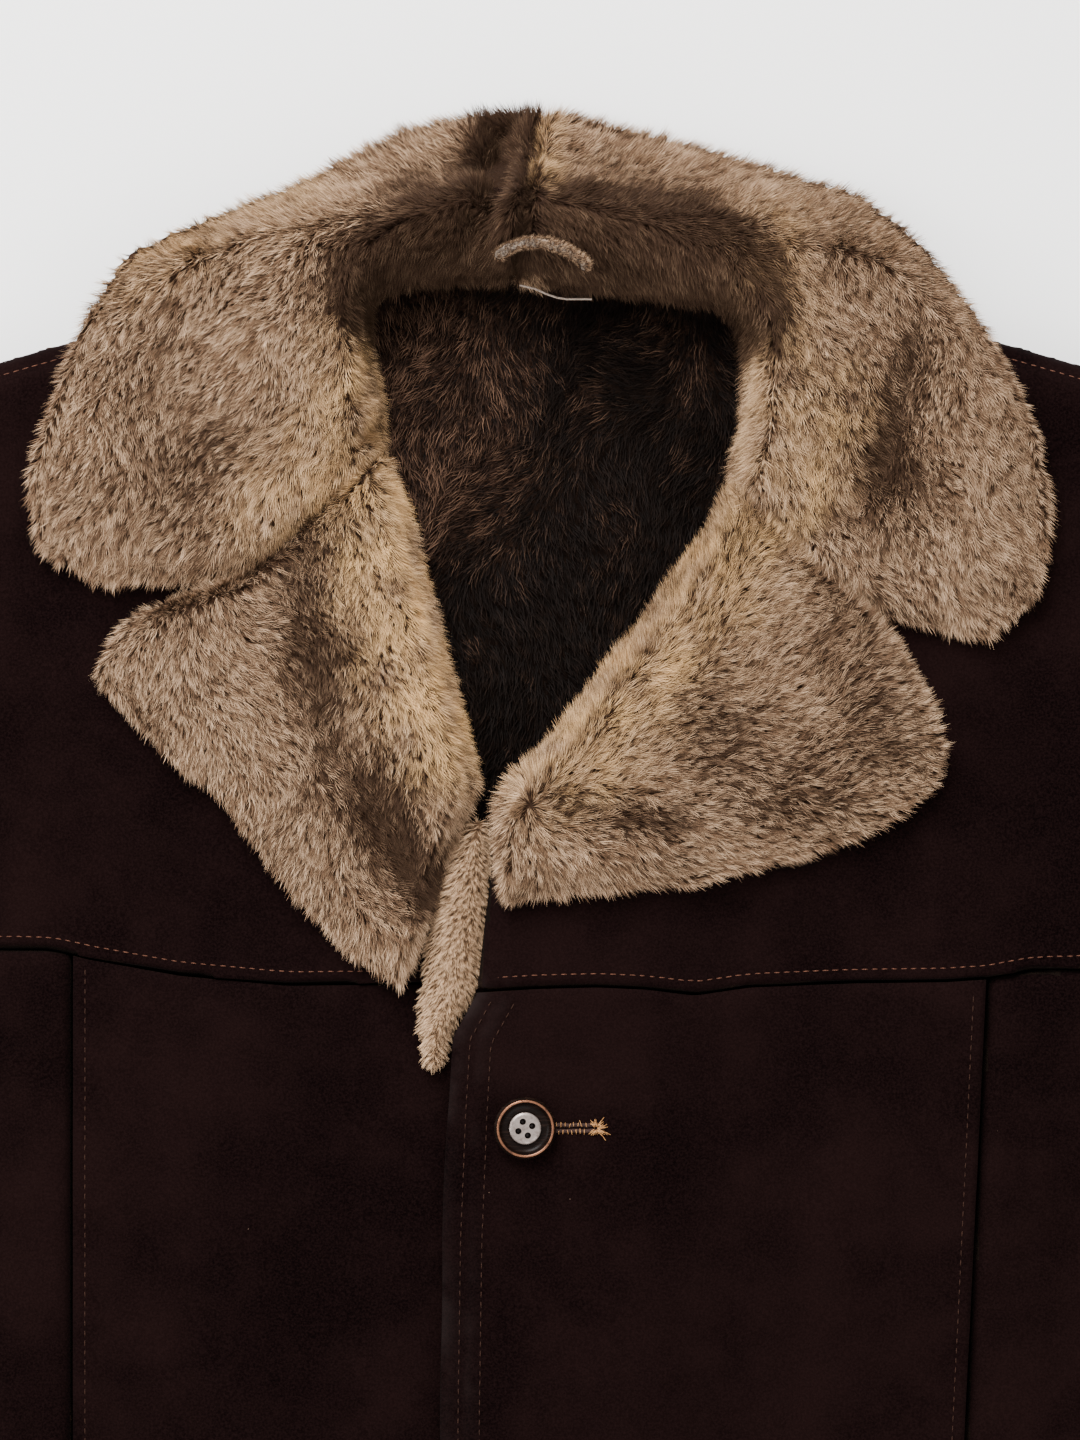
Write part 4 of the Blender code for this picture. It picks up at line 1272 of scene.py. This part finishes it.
class COAT_OT_panels(bpy.types.Operator):
    """Suede panels of the body and sleeves, with the pile inside"""

    bl_idname = "coat.panels"
    bl_label = "Suede panels"

    def execute(self, context):
        look = context.scene.coat_look
        suede = material_once("worn_suede", suede_material, look)
        pile = material_once(
            "inner_pile", pile_material, "inner_pile",
            [c * 0.25 for c in look.lining_body], look.lining_body, look.lining_tip,
        )
        for node in PANELS:
            build_panel(node, suede, pile)
        return {"FINISHED"}


class COAT_OT_fur(bpy.types.Operator):
    """Collar and lapels of beige shearling"""

    bl_idname = "coat.fur"
    bl_label = "Fur collar and lapels"

    def execute(self, context):
        look, sizes = context.scene.coat_look, context.scene.coat_sizes
        suede = material_once("worn_suede", suede_material, look)
        # the fur's base pile takes the painted shade colour as its body
        base = material_once("fur_base", pile_material, "fur_base", look.fur_root, look.fur_shade, look.fur_body)
        hair = material_once(
            "fur", tuft_material, "fur",
            look.fur_root, look.fur_body, look.fur_tip, look.fur_gold, look.fur_shade,
        )
        lock, places = tuft_mesh("lock", 6, 0.95, sizes.fur_length, sizes.hair_width, 0.8, 7)
        # stand and dark carry each piece's painted shade
        for index, (node, way, stand, gold, dark) in enumerate(FUR_PIECES):
            mesh = fur_skin(node, 4.3, 1.0)
            under = comb_and_tone(mesh, way, stand, gold, dark)
            skin = show(piece_name(node), mesh, (base, suede))
            for polygon in mesh.polygons:
                polygon.material_index = 1 if under[polygon.vertices[0]] > 0.5 else 0
            set_values(mesh, "rub", np.zeros(len(mesh.vertices)))
            finish_piece(skin, (node,))
            tufts = grow(
                skin, piece_name(node) + "-fur", lock, places, hair, "beige_fur", sizes.fur_density * 1e6, 10 + index
            )
        return {"FINISHED"}


class COAT_OT_strip(bpy.types.Operator):
    """Fur of the facing beside the front edge"""

    bl_idname = "coat.strip"
    bl_label = "Fur at the front edge"

    def execute(self, context):
        sizes = context.scene.coat_sizes
        mesh = fur_skin("edge_strip", 2.2, 0.5)
        points = garment(points_of(mesh))
        low = ease((-290 - points[:, 1]) / 20)
        sway = soft_noise(points, 14.0, 45) * 0.25
        comb = np.stack((sway - 0.2 - low * 0.3, np.full(len(points), -1.0), np.zeros(len(points))), 1)
        normals = normals_of(mesh)
        even = np.ones(len(points))
        dark = 0.02 + 0.25 * ease((-285 - points[:, 1]) / 20) + 0.1 * soft_noise(points, 12.0, 44)
        set_tone(mesh, points, normals, comb, ease((normals[:, 2] + 0.3) / 0.3), even * 0.1, dark - 0.2, even * 0.85)
        set_values(mesh, "rim", even * 0.9)
        skin = show("edge-strip", mesh, (bpy.data.materials["fur_base"],))
        finish_piece(skin, ("edge_strip",))
        lock, places = tuft_mesh("short_lock", 6, 0.95, sizes.fur_length * 0.9, sizes.hair_width, 0.7, 17)
        tufts = grow(
            skin, "edge-strip-fur", lock, places, bpy.data.materials["fur"], "beige_fur", sizes.fur_density * 1.4e6, 31
        )
        return {"FINISHED"}


class COAT_OT_lining(bpy.types.Operator):
    """Dark pile that shows in the neck, and along hem and cuffs"""

    bl_idname = "coat.lining"
    bl_label = "Pile inside"

    def execute(self, context):
        look, sizes = context.scene.coat_look, context.scene.coat_sizes
        dark = [c * 0.12 for c in look.lining_body]
        hair = material_once(
            "lining_hair", tuft_material, "lining_hair",
            dark, look.lining_body, look.lining_tip, look.lining_tip, dark,
        )
        lock, places = tuft_mesh("lining_lock", 10, 2.6, sizes.fur_length * 1.2, sizes.hair_width * 1.5, 1.0, 27)
        rim_lock, rim_places = tuft_mesh("rim_lock", 10, 2.0, sizes.fur_length * 0.9, sizes.hair_width * 1.4, 0.5, 28)
        for node in PANELS:
            skin = bpy.data.objects[piece_name(node)]
            mesh = skin.data
            points, normals = garment(points_of(mesh)), normals_of(mesh)
            swirl = soft_noise(points, 34.0, 51) * 1.0
            comb = np.stack((np.sin(swirl), -np.cos(swirl), np.zeros(len(points))), 1)
            even = np.ones(len(points))
            # painted shade in the neck opening: darker lower down and towards the wearer's left, lifted along a paler
            # streak, with random patches
            dark = 0.5 + 0.3 * soft_noise(points, 20.0, 52) + ease((-70 - points[:, 1]) / 90) * 0.5
            dark += ease((points[:, 0] + 20) / 50) * 0.35 - bump(line_distance(points, PALE_LINING)[0], 24.0) * 0.9
            set_tone(mesh, points, normals, comb, even, even * 0, dark, even)
            set_values(mesh, "rim", even * 0)
            inner = np.zeros(len(points))
            index = np.array([p.material_index for p in mesh.polygons])
            for polygon in mesh.polygons:
                if index[polygon.index] == 1:
                    for vertex in polygon.vertices:
                        inner[vertex] += 0.25
            inner = np.clip(inner, 0, 1)
            if node == "back":
                hole = ease((points[:, 0] + 100) / 12) * ease((112 - points[:, 0]) / 12)
                hole *= ease((points[:, 1] + 232) / 14) * (normals[:, 2] > 0.4)
                set_values(mesh, "cover", inner * hole)
                grow(skin, "neck-lining", lock, places, hair, "suede", sizes.fur_density * 0.18e6, 41)
            hem = ease((-812 - points[:, 1]) / 4) * (normals[:, 1] < -0.4)
            if node.startswith("sleeve"):
                side = -1 if node.endswith("r") else 1
                way = normals[:, 0] * 0.39 * side - normals[:, 1] * 0.92
                cuff = (points[:, 0] * side * 0.39 - points[:, 1] * 0.92) > 730
                hem = cuff * (way > 0.5)
            cover = inner * hem
            if cover.max() > 0.3:
                set_values(mesh, "cover", cover)
                outward = normals + np.array(
                    (0, 0, 0.2 if node in ("back", "sleeve_under_r", "sleeve_under_l") else -0.2)
                )
                set_values(mesh, "comb", outward)
                grow(
                    skin, piece_name(node) + "-pile", rim_lock, rim_places, hair, "suede",
                    sizes.fur_density * 0.3e6, 43,
                )
        return {"FINISHED"}


class COAT_OT_stitching(bpy.types.Operator):
    """Topstitching along the seams and the front edge"""

    bl_idname = "coat.stitching"
    bl_label = "Topstitching"

    def execute(self, context):
        look, sizes = context.scene.coat_look, context.scene.coat_sizes
        fronts = [piece_name(node) for node in PANELS if node != "back" and "under" not in node]
        height = height_map(pieces_named(fronts))
        stitch = show("stitch_stock", stitch_mesh(2.6, 0.24))
        tree = stitch_tree()
        for name, lines, share in (
            ("topstitching", STITCH_LINES[:BRIGHT_LINES], 1.0),
            ("seam-stitching", STITCH_LINES[BRIGHT_LINES:], 0.3),
        ):
            mat = thread_material(
                name + "_thread", [c * share for c in look.thread], [c * share for c in look.thread_pale]
            )
            curve = draped_curve(name + "_lines", lines, height, 6.0)
            inputs = {"Stitch": stitch, "Pitch": sizes.stitch_pitch * MM, "Material": mat}
            finish_piece(show(name, run_tree(curve, tree, inputs, name)), ())
            drop(curve)
        drop(stitch)
        return {"FINISHED"}


class COAT_OT_fastening(bpy.types.Operator):
    """Three buttons with their buttonholes"""

    bl_idname = "coat.fastening"
    bl_label = "Buttons and buttonholes"

    def execute(self, context):
        look = context.scene.coat_look
        mats = {
            "horn": material_once("dark_horn", horn_material, look),
            "copper": material_once(
                "copper", metal_material, "copper", (0.2, 0.085, 0.045), (0.06, 0.028, 0.018), 0.32
            ),
            "pewter": material_once("pewter", metal_material, "pewter", (0.25, 0.21, 0.19), (0.14, 0.11, 0.098), 0.4),
            "thread": material_once(
                "dark_thread", thread_material, "dark_thread", (0.004, 0.003, 0.003), (0.012, 0.008, 0.007)
            ),
        }
        gold = material_once("gold_thread", thread_material, "gold_thread", (0.16, 0.065, 0.022), (0.5, 0.27, 0.11))
        lips = material_once("lip_thread", thread_material, "lip_thread", (0.012, 0.006, 0.005), (0.04, 0.02, 0.015))
        height_over = height_map(pieces_named(["front-l"]))
        for number, y in enumerate(BUTTON_YS, 1):
            build_button(number, mats)
            build_buttonhole(number, y, lambda x, py: height_over(x, py) or 40.6, lips, gold)
        return {"FINISHED"}


class COAT_OT_hanger(bpy.types.Operator):
    """Hanger loop of fuzzy yarn on the collar's stand"""

    bl_idname = "coat.hanger"
    bl_label = "Hanger loop"

    def execute(self, context):
        mat, g, shader = new_material("fuzzy_yarn", 0.9)
        place = g.add("ShaderNodeTexCoord", {}, {}, "Object")
        fuzz = g.noise(place, 900.0, 3.0, 0.7)
        colour = g.mix(g.ramp(fuzz, 0.35, 0.65), (0.05, 0.036, 0.028, 1), (0.24, 0.185, 0.14, 1))
        normal = g.add("ShaderNodeBump", {}, {"Strength": 0.9, "Distance": 0.0008, "Height": fuzz})
        feed(g, shader, Base_Color=colour, Normal=normal)
        work = show("loop_work", cad_copy("hanger_loop"))
        fine = work.modifiers.new("fine", "SUBSURF")
        fine.levels = 2
        fine.render_levels = 2
        mesh = plain_mesh(work, "loop")
        drop(work)
        points = garment(points_of(mesh))
        normals = normals_of(mesh)
        points += normals * (0.35 * soft_noise(points, 1.8, 61))[:, None]
        place_points(mesh, np.array([spot(*p) for p in points]))
        even = np.ones(len(points))
        comb = np.tile((1.0, 0.3, 0.2), (len(points), 1))
        set_tone(mesh, points, normals, comb, even, even * 0, even * 0.25, even * 0.3)
        loop = show("hanger-loop", mesh, (mat,))
        finish_piece(loop, ("hanger_loop",))
        collars = height_map(pieces_named(["collar-r", "collar-l", "back-panel"]))
        curve = bpy.data.curves.new("loop_edge", "CURVE")
        curve.dimensions = "3D"
        curve.bevel_depth = 0.42 * MM
        curve.bevel_resolution = 3
        curve.use_fill_caps = True
        spline = curve.splines.new("POLY")
        line = split_line(((-6, 2.6), (0, 1.2), (5, -1), (9, -2.4), (13, -3.0), (23, -3.0)), 1.5)
        spline.points.add(len(line) - 1)
        for point, (x, y) in zip(spline.points, line):
            point.co = (*spot(x, y, max(collars(x, y), 18.0) + 5.5), 1.0)
        work = show("loop_edge", curve)
        pale = thread_material("pale_cord", (0.16, 0.12, 0.095), (0.4, 0.32, 0.26))
        finish_piece(show("hanger-loop-edge", plain_mesh(work, "edge"), (pale,)), ())
        drop(work)
        lock, places = tuft_mesh("fuzz", 4, 1.0, 7.0, 0.7, 1.0, 63)
        grow(loop, "hanger-loop-fuzz", lock, places, bpy.data.materials["fur"], "loop_yarn", 3.0e6, 65)
        return {"FINISHED"}


class COAT_OT_stage(bpy.types.Operator):
    """Pale floor, soft lights and the camera over the collar"""

    bl_idname = "coat.stage"
    bl_label = "Stage"

    def execute(self, context):
        look = context.scene.coat_look
        bm = bmesh.new()
        bmesh.ops.create_grid(bm, x_segments=8, y_segments=8, size=4.0)
        mesh = bpy.data.meshes.new("floor")
        bm.to_mesh(mesh)
        bm.free()
        floor = show("floor", mesh, (floor_material(look),))
        floor.location.z = -0.0005
        for name, place, aim, size, power in (
            ("key", (-0.55, 1.75, 1.5), (0.0, 0.1, 0.0), 1.1, 135.0),
            ("fill", (0.9, -1.6, 1.9), (0.0, 0.0, 0.0), 1.8, 36.0),
            ("side", (-1.8, 0.2, 1.2), (0.0, 0.1, 0.0), 1.0, 26.0),
        ):
            data = bpy.data.lights.new(name, "AREA")
            data.shape = "SQUARE"
            data.size = size
            data.energy = power
            lamp = bpy.data.objects.new(name, data)
            lamp.location = place
            lamp.rotation_euler = (Vector(aim) - Vector(place)).to_track_quat("-Z", "Y").to_euler()
            context.scene.collection.objects.link(lamp)
        world = bpy.data.worlds.new("studio")
        world.use_nodes = True
        world.node_tree.nodes["Background"].inputs["Color"].default_value = (1.0, 0.985, 0.97, 1.0)
        world.node_tree.nodes["Background"].inputs["Strength"].default_value = 1.55
        context.scene.world = world
        camera = bpy.data.cameras.new("camera")
        camera.sensor_fit = "AUTO"
        distance, view_height = 3.0, 0.576
        camera.lens = camera.sensor_width * (distance - 0.035) / view_height
        camera.clip_end = 50.0
        holder = bpy.data.objects.new("camera", camera)
        holder.location = spot(2.2, -172.0, 0.0) + Vector((0, 0, distance))
        context.scene.collection.objects.link(holder)
        context.scene.camera = holder
        return {"FINISHED"}


class COAT_PT_panel(bpy.types.Panel):
    """Coat"""

    bl_idname = "COAT_PT_panel"
    bl_label = "Shearling coat"
    bl_space_type = "VIEW_3D"
    bl_region_type = "UI"
    bl_category = "Coat"

    def draw(self, context):
        column = self.layout.column()
        for operator in OPERATORS:
            column.operator(operator.bl_idname)
        for group in (context.scene.coat_look, context.scene.coat_sizes):
            for name in group.__annotations__:
                column.prop(group, name)


OPERATORS = (
    COAT_OT_panels, COAT_OT_fur, COAT_OT_strip, COAT_OT_lining,
    COAT_OT_stitching, COAT_OT_fastening, COAT_OT_hanger, COAT_OT_stage,
)
CLASSES = (CoatLook, CoatSizes, *OPERATORS, COAT_PT_panel)


def register():
    for item in CLASSES:
        bpy.utils.register_class(item)
    bpy.types.Scene.coat_look = bpy.props.PointerProperty(type=CoatLook)
    bpy.types.Scene.coat_sizes = bpy.props.PointerProperty(type=CoatSizes)


def unregister():
    del bpy.types.Scene.coat_look
    del bpy.types.Scene.coat_sizes
    for item in reversed(CLASSES):
        bpy.utils.unregister_class(item)


def main():
    register()
    for operator in OPERATORS:
        group, name = operator.bl_idname.split(".")
        getattr(getattr(bpy.ops, group), name)()


if __name__ == "__main__":
    main()
